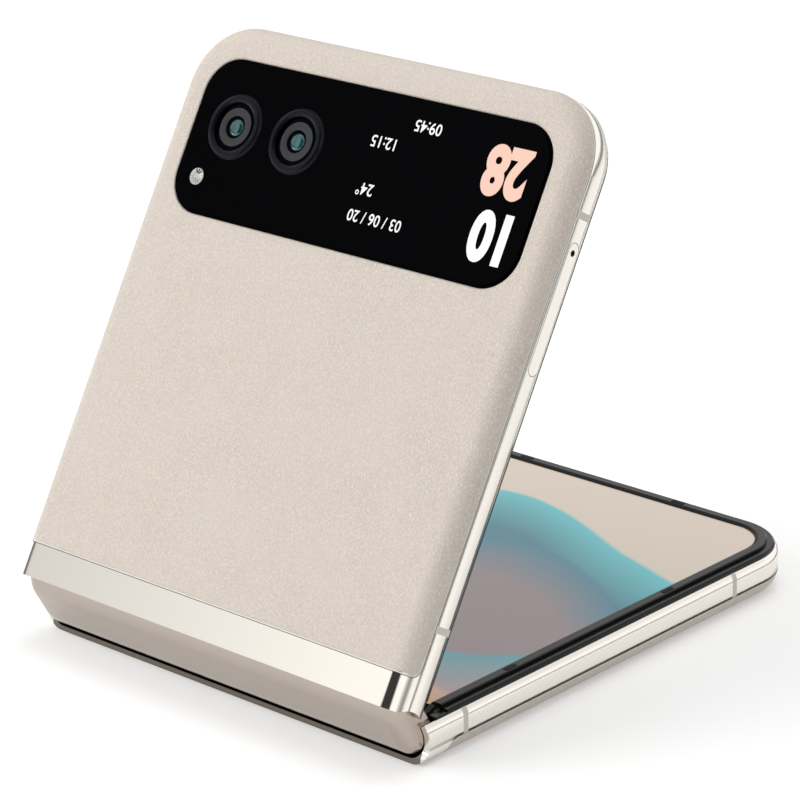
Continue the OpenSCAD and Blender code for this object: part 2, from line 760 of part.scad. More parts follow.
// Small black caps that stand on the spine's ends and close the corners of the fold.
module fold_caps() color("#101010") in_spine() both_sides()
  translate([spine_x - spine_wall, -closed_gap / 2 + 0.15, axis_z])
    cube([spine_wall - 0.05, closed_gap - 0.3, axis_depth - 0.2]);

// ---- parts inside the base half -----------------------------------------
board_start = half_len - 23.4;
cell_z = cavity_top - 0.1 - cell_t;

module battery(s0, s1, x0, x1) {
  translate([(x0 + x1) / 2, (s0 + s1) / 2, cell_z]) linear_extrude(cell_t) round_rect(x1 - x0, s1 - s0, 1.5);
  translate([(x0 + x1) / 2 - 6, s1 - eps, cell_z + 0.5]) cube([12, 1.6, 1]);
}

module main_battery() color("#2c2e33") in_base()
  battery(cavity_start + 6, board_start - 2.4, -inner_x, inner_x);

module charging_board() color("#1f5c3a") in_base() {
  notch = usb_w / 2 + usb_shell + 1.2;
  difference() {
    slab(cavity_bottom, board_top) intersection() {
      plan(half_w - inner_x, board_start);
      translate([-inner_x, board_start]) square([inner_x + speaker_x - 2, 30]);
    }
    translate([-notch, half_len - frame_wall - usb_depth, 0]) cube([2 * notch, 2 * notch, 3]);
  }
  for (p = [[10.3, 4], [20.3, 4], [30.3, 3]])
    translate([p[0] - inner_x, board_start + p[1], board_top - eps]) cube([6, 4, 1.1]);
}

module charging_socket() color("#b8babd") in_base()
  translate([0, half_len - 0.4, port_z]) rotate([90, 0, 0]) {
    difference() {
      linear_extrude(usb_depth) stadium(usb_w + 2 * usb_shell, usb_h + 2 * usb_shell);
      translate([0, 0, -1]) linear_extrude(usb_depth + 0.5) stadium(usb_w, usb_h);
    }
    translate([0, 0, usb_depth - 5]) linear_extrude(5) square([6.7, 0.7], center = true);
  }

module loudspeaker() color("#26272b") in_base() {
  s0 = board_start + 4;
  s1 = half_len - frame_wall - cell_clear - 0.5;
  difference() {
    translate([speaker_x + speaker_w / 2, (s0 + s1) / 2, cavity_bottom + 0.1])
      linear_extrude(cavity_top - cavity_bottom - 0.2) round_rect(speaker_w, s1 - s0, 5);
    for (x = sound_xs) translate([x, s1, port_z]) rotate([90, 0, 0])
      cylinder(r = sound_r, h = 4, $fn = 24, center = true);
  }
}

module vibration_motor() color("#a9abae") in_base() translate([9.3 - inner_x, half_len - 11.4, board_top]) {
  cylinder(r = 4, h = 2.6);
  translate([-2, 3, 0]) cube([4, 3, 0.6]);
}

module base_antenna_breaks() color("#cfc6b8") in_base() antenna_breaks(break_base);

module cover_antenna_breaks() color("#cfc6b8") in_cover_mirrored() antenna_breaks(break_cover);

bumper_s = [20, half_len - 30.4];
bumper_l = 2.2;
bumper_w = 0.7;

module bumpers() {
  d = bezel_inset + (bezel_step + bezel_edge + bezel_w - bezel_slope) / 2;
  both_sides() for (s = bumper_s)
    translate([half_w - d, s, half_t]) linear_extrude(bumper_h) stadium_s(bumper_l, bumper_w);
  for (m = [-1, 1]) translate([m * (half_w - 22), half_len - d, half_t]) linear_extrude(bumper_h)
    stadium(bumper_l, bumper_w);
}

module stadium_s(l, h) rotate(90) stadium(l, h);

module base_bumpers() color("#1a1a1a") in_base() bumpers();

module cover_bumpers() color("#1a1a1a") in_cover_mirrored() bumpers();

// ---- parts inside the cover half ----------------------------------------
module camera_holes(r) for (x = camera_xs) translate([x, camera_pos]) circle(r);

module window_glass() color("#0a0a0c") in_cover_mirrored() difference() {
  union() {
    slab(-glass_proud + 0.25, glass_bottom) glass_plan();
    slab(-glass_proud, -glass_proud + 0.25 + eps) glass_plan(-0.25);
  }
  slab(-glass_proud - 1, glass_bottom + 1) camera_holes(ring_ri);
  slab(-glass_proud - 1, glass_bottom + 1) translate([flash_x, flash_s]) circle(flash_r + 0.05);
}

module outer_screen() color("#151a22") in_cover_mirrored() {
  x0 = camera_xs[1] + ring_ro + 3.6;
  x1 = glass_w / 2 - 1.7;
  slab(glass_bottom, glass_bottom + 0.8) translate([(x0 + x1) / 2, glass_pos])
    round_rect(x1 - x0, glass_len - 2.8, 3);
}

module camera_rings() color("#33363c") in_cover_mirrored()
  for (x = camera_xs) translate([x, camera_pos, -glass_proud]) rotate([180, 0, 0]) rotate_extrude()
    polygon([[ring_ri - 0.25, 0], [ring_ro, 0], [ring_ro - 0.25, ring_h * 0.75],
      [ring_ro - 0.5, ring_h], [ring_ri + 0.1, ring_h], [ring_ri - 0.25, ring_h * 0.6]]);

module camera_windows() color("#11131a") in_cover_mirrored()
  for (x = camera_xs) translate([x, camera_pos, -glass_proud]) cylinder(r = ring_ri - 0.05, h = 0.5);

module camera(x, r) in_cover_mirrored() translate([x, camera_pos, 0]) difference() {
  union() {
    translate([0, 0, glass_bottom]) cylinder(r = r, h = 2);
    translate([-camera_box / 2, -camera_box / 2, glass_bottom + 1.6])
      cube([camera_box, camera_box, cavity_top - glass_bottom - 1.7]);
    translate([0, 0, 0.35]) cylinder(r = 2.8, h = 1.2);
  }
  translate([0, 0, 0.3 - eps]) cylinder(r1 = 2.3, r2 = 1.5, h = 0.5);
}

module wide_camera() color("#202228") camera(camera_xs[0], 3.6);

module main_camera() color("#202228") camera(camera_xs[1], 4);

module flash_lens() color("#f1efe6") in_cover_mirrored()
  translate([flash_x, flash_s, -glass_proud]) cylinder(r = flash_r, h = glass_t - 0.2);

module flash_led() color("#e8d36a") in_cover_mirrored()
  translate([flash_x, flash_s, glass_bottom + 0.35]) cube([2.6, 2.6, 0.7], center = true);

board_from = half_len - 40.4;

module main_board() color("#1f5c3a") in_cover_mirrored() difference() {
  slab(board_z, board_z + board_t) plan(half_w - inner_x, board_from);
  notch = camera_box + 2 * cell_clear;
  for (x = camera_xs) translate([x - notch / 2, camera_pos - notch / 2, 0]) cube([notch, notch, 8]);
}

// Each shield's x, distance past the board's edge, width and length.
shields = [[-20, 2, 18, 16], [4, 2, 12, 16], [-2, 21, 14, 12], [14, 24, 14, 9]];

module board_shields() color("#b4b6ba") in_cover_mirrored()
  for (p = shields) translate([p[0], board_from + p[1], board_z + board_t]) cube([p[2], p[3], 1.6]);

module second_battery() color("#2c2e33") in_cover_mirrored()
  battery(cavity_start + 6, board_from - 2.4, -inner_x + 1.4, inner_x);

module front_camera_bore() translate([0, front_s, seat_z - 2]) cylinder(r = front_r + 0.1, h = 6);

front_s = half_len - 6.2;
front_r = 1.9;

module front_camera() color("#15161a") in_cover_mirrored() difference() {
  translate([0, front_s, seat_z + eps]) cylinder(r = front_r, h = screen_top - seat_z - 0.05);
  translate([0, front_s, screen_top - 0.5]) cylinder(r1 = 0.7, r2 = 1.3, h = 0.6);
}

module earpiece() color("#26272b") in_cover_mirrored()
  translate([0, half_len - frame_wall - 0.5 - 1.4, 4.4]) cube([12, 2.4, 1.6], center = true);

// ---- keys and tray -------------------------------------------------------
module key_cap(len) {
  translate([0, 0, -key_root]) linear_extrude(key_root + key_proud - 0.15) stadium(len, key_h);
  translate([0, 0, key_proud - 0.15 - eps]) linear_extrude(0.15 + eps) stadium(len - 0.3, key_h - 0.3);
  translate([0, 0, -key_root - key_flange + 0.1]) linear_extrude(key_flange - 0.1 + eps)
    square([len + 1, key_h + 0.2], center = true);
}

module power_key() color("#cfc8bb") in_cover_mirrored() at_left(power_pos, key_z) key_cap(power_len);

module volume_key() color("#cfc8bb") in_cover_mirrored() at_left(volume_pos, key_z) key_cap(volume_len);

switch_gap = key_travel + 0.1;

module switch(s) at_left(s, key_z) translate([0, 0, -key_root - key_flange + 0.1 - switch_gap]) {
  translate([-1.6, -1.1, -1.2]) cube([3.2, 2.2, 1]);
  translate([0, 0, -0.2 - eps]) cylinder(r = 0.7, h = 0.2 + eps, $fn = 32);
}

module key_switches() color("#b8b09a") in_cover_mirrored() {
  switch(power_pos);
  reach = volume_len / 2 - 3;
  for (m = [-1, 1]) switch(volume_pos + m * reach);
  strip_from = power_pos - 2;
  strip_to = volume_pos + reach + 2;
  at_left((strip_from + strip_to) / 2, key_z)
    translate([-(strip_to - strip_from) / 2, -1, -key_root - key_flange - 1.1 - switch_gap - 0.15])
      cube([strip_to - strip_from, 2, 0.15 + eps]);
}

module card_tray() color("#d8d2c6") in_cover_mirrored() at_right(tray_pos, tray_z) difference() {
  union() {
    translate([0, 0, -frame_wall]) linear_extrude(frame_wall) stadium(tray_len, tray_h);
    translate([-tray_len / 2 + 1.6, -0.45, -tray_depth - frame_wall]) cube([card_l, 0.9, tray_depth + 0.5]);
  }
  translate([-tray_len / 2 + 2.6, -0.2, -tray_depth - frame_wall + 1]) cube([card_w, 2, card_l]);
  translate([tray_len / 2 - 1.4, 0, -frame_wall - 1]) cylinder(r = eject_r, h = frame_wall + 2, $fn = 24);
}

module tray_cage() color("#b4b6ba") in_cover_mirrored() at_right(tray_pos, tray_z) difference() {
  translate([-tray_len / 2 + 1.1, -0.85, -tray_depth - frame_wall - 0.6])
    cube([card_l + 1, 1.7, tray_depth + 0.2]);
  translate([-tray_len / 2 + 1.4, -0.6, -tray_depth - frame_wall - 0.3])
    cube([card_l + 0.4, 1.2, tray_depth + 4]);
}

base_frame();
base_back_cover();
base_bezel();
base_screen_plate();
base_screen();
main_battery();
charging_board();
charging_socket();
loudspeaker();
vibration_motor();
base_antenna_breaks();
base_bumpers();
base_screws();
hinge_arm_base_left();
hinge_arm_base_right();
sector_gear_base();
spine_cover();
hinge_bracket_left();
hinge_bracket_right();
sync_gearbox();
fold_caps();
screen_fold();
hinge_flex_cable();
sync_pinion_1();
sync_pinion_2();
sync_pinion_3();
sync_pinion_4();
cover_frame();
cover_back_cover();
cover_bezel();
cover_screen_plate();
cover_screen();
window_glass();
outer_screen();
wide_camera();
main_camera();
camera_rings();
camera_windows();
flash_lens();
flash_led();
main_board();
board_shields();
second_battery();
earpiece();
front_camera();
cover_antenna_breaks();
cover_bumpers();
cover_screws();
hinge_arm_cover_left();
hinge_arm_cover_right();
sector_gear_cover();
key_switches();
tray_cage();
power_key();
volume_key();
card_tray();
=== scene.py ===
# %% [markdown]
# # A clamshell phone, half open
# The metal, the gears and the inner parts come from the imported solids. This notebook loads them
# as a fixed frame, dresses them with finishes, and makes the pieces that solids describe badly:
# the bending screen, the stitched-tight leather backs, the lenses and what the screens show.

# %% The frame
import math

import bmesh
import bpy
from mathutils import Matrix, Vector


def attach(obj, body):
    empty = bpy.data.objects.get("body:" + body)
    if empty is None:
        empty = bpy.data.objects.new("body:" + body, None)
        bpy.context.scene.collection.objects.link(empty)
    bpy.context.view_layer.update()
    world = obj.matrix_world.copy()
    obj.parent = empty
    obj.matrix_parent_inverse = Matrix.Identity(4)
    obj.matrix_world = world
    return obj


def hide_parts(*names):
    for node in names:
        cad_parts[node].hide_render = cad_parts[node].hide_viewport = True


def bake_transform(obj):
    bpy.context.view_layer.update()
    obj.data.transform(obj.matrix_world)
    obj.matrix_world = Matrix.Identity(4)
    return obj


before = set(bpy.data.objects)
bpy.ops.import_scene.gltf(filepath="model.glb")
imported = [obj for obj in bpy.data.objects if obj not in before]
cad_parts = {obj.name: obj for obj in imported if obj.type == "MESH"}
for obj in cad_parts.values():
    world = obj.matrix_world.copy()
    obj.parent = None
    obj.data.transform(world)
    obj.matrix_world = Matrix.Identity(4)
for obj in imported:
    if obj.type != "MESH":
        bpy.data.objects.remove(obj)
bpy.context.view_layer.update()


# %% [markdown]
# ## Sizes and places
# Each half is described laid flat: x across the phone, s from the fold line towards the free end
# and z up from the outer face, all in millimetres. One matrix per body then folds that flat
# drawing to the stored pose, so a piece is written once in easy numbers and placed for good.

# %% Sizes and the three placings
MM = 0.001
HALF_W = 37.0
HALF_LEN = 85.4
HALF_T = 7.35
CORNER_R = 10.0
EDGE_R = 3.0
SEAM_Z = 2.45                         # height of the seam between leather and metal
AXIS_S = 2.05
AXIS_Z = 5.85
FOLD_TURN = 60.0
COVER_GAP = 0.08                      # between the leather and the metal band or the glass
BAND_LEN = 5.1                        # the metal band beside the fold
GLASS_W, GLASS_LEN, GLASS_POS, GLASS_R = 64.4, 23.2, 68.4, 5.6
GLASS_PROUD = 0.2
CAMERA_XS = (-24.0, -12.0)
CAMERA_POS = 70.2
FLASH = (-28.0, 62.0)


def turn(s, degrees):
    """A turn about the fold axis at s."""
    there = Matrix.Translation((0, s, AXIS_Z))
    return there @ Matrix.Rotation(math.radians(degrees), 4, "X") @ there.inverted()


BASE = Matrix.Translation((0, -HALF_LEN / 2, 0))
SPINE = BASE @ turn(AXIS_S, -FOLD_TURN)
COVER = SPINE @ turn(-AXIS_S, -FOLD_TURN) @ Matrix.Scale(-1, 4, (0, 1, 0))
print("cover's free end is at", [round(v, 2) for v in COVER @ Vector((0, HALF_LEN, 0))], "mm")

# %% [markdown]
# ## Camera
# A long lens from well back keeps the edges nearly parallel, as product pictures do. The camera
# looks at a point over the middle of the base and rolls a little to the side.

# %% Camera
CAMERA_AT = Vector((0.31489, -0.35417, 0.20456))
CAMERA_LOOKS_AT = Vector((0.010467, -0.0177, 0.039144))
CAMERA_ROLL = math.radians(-0.77)
LENS_MM = 156.6

camera = bpy.data.objects.new("camera", bpy.data.cameras.new("camera"))
bpy.context.scene.collection.objects.link(camera)
camera.data.lens = LENS_MM
camera.data.clip_start = 0.01
camera.location = CAMERA_AT
aim = (CAMERA_LOOKS_AT - CAMERA_AT).to_track_quat("-Z", "Y").to_matrix()
camera.rotation_euler = (aim @ Matrix.Rotation(CAMERA_ROLL, 3, "Z")).to_euler()
bpy.context.scene.camera = camera
bpy.context.scene.view_settings.view_transform = "Standard"

# %% [markdown]
# ## Helpers for shader nodes
# Every finish is a small node tree. These helpers add a node, set its sockets and join it up, so
# that each finish below reads as a recipe.

# %% Shader helpers
def math_node(tree, operation, a, b=0.0, clamp=False):
    node = tree.nodes.new("ShaderNodeMath")
    node.operation, node.use_clamp = operation, clamp
    for socket, value in zip(node.inputs, (a, b)):
        if isinstance(value, bpy.types.NodeSocket):
            tree.links.new(value, socket)
        else:
            socket.default_value = value
    return node.outputs[0]


class Finish:
    """A material's node tree with a Principled shader already in it."""

    def __init__(self, name, **values):
        self.material = bpy.data.materials.new(name)
        self.material.use_nodes = True
        self.tree = self.material.node_tree
        self.shader = self.tree.nodes["Principled BSDF"]
        self.set(self.shader, **values)
        self.place = self.add("ShaderNodeTexCoord").outputs["Object"]

    def set(self, node, **values):
        for name, value in values.items():
            socket = node.inputs[name.replace("_", " ")]
            if isinstance(value, bpy.types.NodeSocket):
                self.tree.links.new(value, socket)
            else:
                if socket.type == "RGBA" and len(value) == 3:
                    value = (*value, 1.0)
                socket.default_value = value

    def add(self, kind, settings=(), **values):
        node = self.tree.nodes.new(kind)
        for name, value in dict(settings).items():
            setattr(node, name, value)
        self.set(node, **values)
        return node

    def noise(self, scale, detail=3.0, where=None):
        return self.add("ShaderNodeTexNoise", Vector=where or self.place, Scale=scale,
                        Detail=detail).outputs["Fac"]

    def math(self, operation, a, b=0.0, clamp=False):
        return math_node(self.tree, operation, a, b, clamp)

    def between(self, factor, low, high):
        """A number that runs from low to high as factor runs from 0 to 1."""
        node = self.add("ShaderNodeMapRange", Value=factor)
        node.inputs["To Min"].default_value = low
        node.inputs["To Max"].default_value = high
        return node.outputs["Result"]

    def mix(self, factor, a, b):
        """Colour a where factor is 0 and colour b where it is 1."""
        node = self.add("ShaderNodeMix", {"data_type": "RGBA"})
        for index, value in ((0, factor), (6, a), (7, b)):  # the colour sockets share their names
            if isinstance(value, bpy.types.NodeSocket):
                self.tree.links.new(value, node.inputs[index])
            else:
                if index > 0 and len(value) == 3:
                    value = (*value, 1.0)
                node.inputs[index].default_value = value
        return node.outputs[2]

    def bump(self, height, strength, distance):
        node = self.add("ShaderNodeBump", Strength=strength, Distance=distance, Height=height)
        self.set(self.shader, Normal=node.outputs["Normal"])


# %% [markdown]
# ## The metal
# The frames are aluminium, blasted, anodised a warm silver and then buffed until they shine. Dull
# and bright differ only in roughness, so one recipe serves the frames, the keys and the spine; the
# spine's colour is darker, as painted shade. On a frame, masks measured along and across the half
# add three things: the band beside the fold is buffed to a mirror, the rails are slightly crowned,
# and the base's lip under the spine is coloured dark, as painted shade.

# %% Warm metal
METAL = (0.88, 0.835, 0.775)
# painted shade: the spine's metal is the frame metal made darker, for the shade under the cover
METAL_PAINTED_SHADE = (0.45, 0.395, 0.35)
# painted shade: a dark colour for the base's lip beside the fold, under the spine
METAL_LIP_PAINTED_SHADE = (0.20, 0.175, 0.15)
FRAME_ROUGHNESS, SPINE_ROUGHNESS, KEY_ROUGHNESS = 0.15, 0.2, 0.22
ROUGHNESS_SPREAD = 0.18
BAND_MASK = (BAND_LEN + 0.1) * MM     # reach of the band's mask from the fold line
BAND_DEPTH = 1.2 * MM                 # and in from the outer face
BAND_POLISH = 0.35                    # the band's roughness as a share of the frame's
LIP_HALF_W = (HALF_W - 1.2) * MM
RAIL_MIDDLE = 4.2 * MM
RAIL_CROWN = 170.0


def half_axes(place):
    """Where a half's fold line starts, and the direction along the half."""
    start = (place @ Vector((0, 0, 0))) * MM
    along = ((place @ Vector((0, 1, 0))) * MM - start).normalized()
    return start, along


def inward_of(along):
    """The direction from a half's outer face to its inner face."""
    return Vector((1, 0, 0)).cross(Vector(along)) * (1 if along[1] > 0.9 else -1)


def warm_metal(name, colour, roughness, half=None, lip=None):
    finish = Finish(name, Base_Color=colour, Metallic=1.0)
    rough = finish.between(finish.noise(180.0, 4.0), roughness * (1 - ROUGHNESS_SPREAD),
                           roughness * (1 + ROUGHNESS_SPREAD))
    height = finish.math("MULTIPLY", finish.noise(9000.0, 2.0), 0.0000002)
    if half is not None:
        start, along = half
        from_start = finish.add("ShaderNodeVectorMath", {"operation": "SUBTRACT"})
        finish.tree.links.new(finish.place, from_start.inputs[0])
        from_start.inputs[1].default_value = start
        measures = []
        for direction in (along, inward_of(along)):
            part = finish.add("ShaderNodeVectorMath", {"operation": "DOT_PRODUCT"})
            finish.tree.links.new(from_start.outputs[0], part.inputs[0])
            part.inputs[1].default_value = direction
            measures.append(part.outputs["Value"])
        run, depth = measures
        near_fold = finish.math("LESS_THAN", run, BAND_MASK)
        on_band = finish.math("MULTIPLY", near_fold, finish.math("LESS_THAN", depth, BAND_DEPTH))
        rough = finish.math("MULTIPLY", rough, finish.between(on_band, 1.0, BAND_POLISH))
        from_middle = finish.math("SUBTRACT", finish.math("MAXIMUM", depth, SEAM_Z * MM),
                                  RAIL_MIDDLE)
        crown = finish.math("MULTIPLY", finish.math("MULTIPLY", from_middle, from_middle),
                            -RAIL_CROWN)
        height = finish.math("ADD", height, crown)
        # painted shade: inside this mask the base's lip under the spine is coloured darker
        if lip is not None:
            across = finish.add("ShaderNodeSeparateXYZ", Vector=finish.place).outputs["X"]
            inside = finish.math("LESS_THAN", finish.math("ABSOLUTE", across), LIP_HALF_W)
            lip_shade_mask = finish.math("MULTIPLY", inside, near_fold)
            finish.set(finish.shader, Base_Color=finish.mix(lip_shade_mask, colour, lip))
    finish.set(finish.shader, Roughness=rough)
    finish.bump(height, 1.0, 1.0)
    return finish.material


base_metal = warm_metal("base metal", METAL, FRAME_ROUGHNESS, half_axes(BASE), METAL_LIP_PAINTED_SHADE)
cover_metal = warm_metal("cover metal", METAL, FRAME_ROUGHNESS, half_axes(COVER))
# the spine's darker colour is painted shade
spine_metal = warm_metal("spine metal", METAL_PAINTED_SHADE, SPINE_ROUGHNESS)
key_metal = warm_metal("key metal", METAL, KEY_ROUGHNESS)

# %% [markdown]
# ## Leather
# The backs are faced with a cream coated leather. Its grain is a net of fine creases round small
# pebbles about half a millimetre wide. A distorted Voronoi pattern gives the pebbles, finer noise
# breaks them up, and the creases are a touch darker than the crowns.

# %% Leather
LEATHER = (0.775, 0.695, 0.62)
LEATHER_CREASE = (0.59, 0.52, 0.455)
PEBBLE_STRETCH = (1.35, 0.8, 0.8)
PEBBLES_PER_M = 2100.0
WARP_PER_M, WARP = 1100.0, 0.0009
GRAIN_STRENGTH, GRAIN_DEPTH = 0.75, 0.00005


def cream_leather():
    finish = Finish("cream leather", Roughness=0.5, Specular_IOR_Level=0.4, Sheen_Weight=0.08,
                    Sheen_Roughness=0.5)
    stretched = finish.add("ShaderNodeMapping", Vector=finish.place)
    stretched.inputs["Scale"].default_value = PEBBLE_STRETCH
    warp = finish.add("ShaderNodeTexNoise", Vector=finish.place, Scale=WARP_PER_M,
                      Detail=2.0)
    spread = finish.add("ShaderNodeVectorMath", {"operation": "SCALE"},
                        Vector=warp.outputs["Color"], Scale=WARP)
    moved = finish.add("ShaderNodeVectorMath", {"operation": "ADD"})
    finish.tree.links.new(stretched.outputs[0], moved.inputs[0])
    finish.tree.links.new(spread.outputs[0], moved.inputs[1])
    creases = finish.add("ShaderNodeTexVoronoi", {"feature": "DISTANCE_TO_EDGE"},
                         Vector=moved.outputs[0], Scale=PEBBLES_PER_M).outputs["Distance"]
    net = finish.math("MULTIPLY", creases, 4.5, clamp=True)
    fine = finish.noise(3600.0, 3.0)
    broad = finish.noise(110.0, 2.0)
    height = finish.math("ADD", finish.math("MULTIPLY", fine, 0.55), net)
    low = finish.math("SUBTRACT", 1.0, net, clamp=True)
    crease = finish.math("MULTIPLY", low, finish.between(broad, 0.35, 0.95), clamp=True)
    colour = finish.mix(crease, LEATHER, LEATHER_CREASE)
    finish.set(finish.shader, Base_Color=colour)
    finish.bump(height, GRAIN_STRENGTH, GRAIN_DEPTH)
    return finish.material


leather = cream_leather()

# %% [markdown]
# ## Plain finishes
# Glass backed with black paint is nearly black all through, with a hard clear surface. Moulded
# black plastic has a faint spark-eroded texture, and rubber is duller still. Each finish below is
# a colour, a roughness that wanders a little, and a grain where the surface has one.

# %% Plain finishes
def simple(name, colour, roughness, grain=0.0, scale=3000.0, **values):
    finish = Finish(name, Base_Color=colour, Roughness=roughness, **values)
    cloud = finish.noise(scale / 20, 3.0)
    darker = tuple(c * 0.85 for c in colour)
    finish.set(finish.shader, Base_Color=finish.mix(cloud, darker, colour),
               Roughness=finish.between(cloud, roughness * 0.85, roughness * 1.15))
    if grain:
        finish.bump(finish.noise(scale, 3.0), grain, 0.00002)
    return finish.material


black_glass = simple("black glass", (0.0004, 0.0005, 0.001), 0.05, Specular_IOR_Level=0.02)
black_plastic = simple("black plastic", (0.004, 0.004, 0.0045), 0.24, 0.2,
                       Specular_IOR_Level=0.2)
bumper_rubber = simple("bumper rubber", (0.006, 0.006, 0.0065), 0.6, 0.4,
                       Specular_IOR_Level=0.2)
camera_black = simple("camera black", (0.008, 0.008, 0.01), 0.35)
ring_metal = simple("ring metal", (0.007, 0.008, 0.013), 0.26, 0.05, Metallic=0.4,
                    Specular_IOR_Level=0.18)
ring_grey = simple("grey lens ring", (0.022, 0.023, 0.028), 0.45, 0.3, 9000.0)
flash_clear = simple("flash lens", (0.60, 0.60, 0.58), 0.15, 0.0, Coat_Weight=0.5)
facet_metal = simple("flash facets", (0.78, 0.78, 0.76), 0.12, 0.0, Metallic=0.9)
contact_gold = simple("gold contacts", (0.76, 0.58, 0.30), 0.25, 0.0, Metallic=1.0)
# painted highlight: a pale bead for the light caught by the leather's rolled edge
painted_highlight_bead = simple("painted edge highlight", (0.93, 0.90, 0.85), 0.25, 0.0, Specular_IOR_Level=0.6)
woven_steel = simple("woven steel", (0.10, 0.10, 0.10), 0.5, 0.6, 16000.0, Metallic=0.6)
hinge_steel = simple("hinge steel", (0.42, 0.42, 0.43), 0.32, 0.1, Metallic=1.0)
pressed_steel = simple("pressed steel", (0.55, 0.55, 0.56), 0.38, 0.1, Metallic=1.0)
dark_steel = simple("dark screw steel", (0.12, 0.12, 0.13), 0.35, 0.1, Metallic=1.0)
gear_brass = simple("gear brass", (0.68, 0.49, 0.22), 0.3, 0.1, Metallic=1.0)
solder_mask = simple("solder mask", (0.02, 0.09, 0.05), 0.4, 0.2)
cell_wrap = simple("cell wrap", (0.03, 0.03, 0.035), 0.45, 0.3)
flex_film = simple("flex film", (0.35, 0.14, 0.03), 0.35, 0.1)
# painted shadow: a dark grey line for the shade in the fine gap at the leather's seam
painted_seam_shadow = simple("painted seam shadow", (0.07, 0.062, 0.055), 0.4, 0.2, Specular_IOR_Level=0.3)
antenna_plastic = simple("antenna plastic", (0.78, 0.745, 0.69), 0.35, 0.15)

# %% Dress the solids
FINISHES = {
    base_metal: ["base_frame"],
    cover_metal: ["cover_frame"],
    spine_metal: ["spine_cover"],
    key_metal: ["power_key", "volume_key", "card_tray"],
    leather: ["base_back_cover", "cover_back_cover"],
    black_plastic: ["base_bezel", "cover_bezel", "loudspeaker", "earpiece", "fold_caps"],
    bumper_rubber: ["base_bumpers", "cover_bumpers"],
    black_glass: ["window_glass", "outer_screen", "camera_windows", "base_screen", "cover_screen",
                  "screen_fold"],
    camera_black: ["wide_camera", "main_camera", "front_camera"],
    ring_metal: ["camera_rings"],
    flash_clear: ["flash_lens", "flash_led"],
    hinge_steel: ["hinge_arm_base_left", "hinge_arm_base_right", "hinge_arm_cover_left",
                  "hinge_arm_cover_right", "hinge_bracket_left", "hinge_bracket_right",
                  "sync_gearbox"],
    pressed_steel: ["base_screen_plate", "cover_screen_plate", "charging_socket", "board_shields",
                    "tray_cage", "vibration_motor", "key_switches"],
    dark_steel: ["base_screws", "cover_screws"],
    gear_brass: ["sector_gear_base", "sector_gear_cover", "sync_pinion_1", "sync_pinion_2",
                 "sync_pinion_3", "sync_pinion_4"],
    solder_mask: ["charging_board", "main_board"],
    cell_wrap: ["main_battery", "second_battery"],
    flex_film: ["hinge_flex_cable"],
    antenna_plastic: ["base_antenna_breaks", "cover_antenna_breaks"],
}
for finish, nodes in FINISHES.items():
    for node in nodes:
        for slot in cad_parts[node].material_slots:
            slot.material = finish
print("dressed", sum(map(len, FINISHES.values())), "of", len(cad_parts), "solids")

# %% [markdown]
# ## Making a mesh in its place
# A finished piece's object sits at the origin and its place is in its mesh. The placing of the
# cover half is a mirror image, which turns faces inside out, so those are turned back.

# %% Mesh helpers
def stand(name, mesh):
    """Puts a finished mesh in the scene."""
    obj = bpy.data.objects.new(name, mesh)
    bpy.context.scene.collection.objects.link(obj)
    print(name, len(mesh.polygons), "faces")
    return obj


def facing(place, up=-1):
    """The direction out of a half's outer face, or with up=1 out of its inner face."""
    return ((place @ Vector((0, 0, up))) - (place @ Vector((0, 0, 0)))).normalized()


def make(name, verts, faces, place, materials, indices=None, uv=None):
    mesh = bpy.data.meshes.new(name)
    mesh.from_pydata([(place @ Vector(v)) * MM for v in verts], [], faces)
    for material in materials:
        mesh.materials.append(material)
    if indices:
        mesh.polygons.foreach_set("material_index", indices)
    if uv:
        layer = mesh.uv_layers.new(name="flat")
        for loop in mesh.loops:
            layer.data[loop.index].uv = uv[loop.vertex_index]
    mesh.polygons.foreach_set("use_smooth", [True] * len(mesh.polygons))
    if place.determinant() < 0:
        mesh.flip_normals()
    mesh.update()
    return stand(name, mesh)


def sharpen(obj, degrees):
    obj.data.set_sharp_from_angle(angle=math.radians(degrees))
    return obj


# %% [markdown]
# ## The flexible screen
# One sheet crosses both halves. Each side of it follows its half out to the bezel and turns with
# the spine at the fold. Every point turns about the fold axis by a share of the whole turn, and
# the share grows smoothly towards the fold line. With no fold turn the same rule leaves the sheet
# flat, as for a flat phone. Its UV map is the flat sheet, in metres, and what the screen shows is
# drawn on that.

# %% The sheet's bend
FOLD_FREE = 5.0
SCREEN_TOP = 6.95
SCREEN_T = 0.65
BEND_ROWS, CORNER_ROWS, COLUMNS = 36, 16, 25
ROW_STEP = 3.0


def turned(s, z, share):
    """A point of the flat sheet, turned about the fold axis by a share of the fold."""
    angle = math.radians(-share * FOLD_TURN)
    ds, dz = s - AXIS_S, z - AXIS_Z
    return (AXIS_S + ds * math.cos(angle) - dz * math.sin(angle),
            AXIS_Z + ds * math.sin(angle) + dz * math.cos(angle))


def chord(middle, free):
    """The two ends of the free strip's middle line: on the half, and on the spine."""
    return (free, middle), turned(0.0, middle, 1.0)


def bent(s, z, middle, free):
    """Where the flat sheet's point at s and z lies, in a half's own s and z."""
    (s0, z0), (s1, z1) = chord(middle, free)
    length2 = (s1 - s0) ** 2 + (z1 - z0) ** 2
    share = max(0.0, min(1.0, 1 - s / free))
    for _ in range(40):
        ps, pz = turned(s, z, share)
        t = max(0.0, min(1.0, ((ps - s0) * (s1 - s0) + (pz - z0) * (z1 - z0)) / length2))
        share = (share + t * t * (3 - 2 * t)) / 2
    return turned(s, z, share)


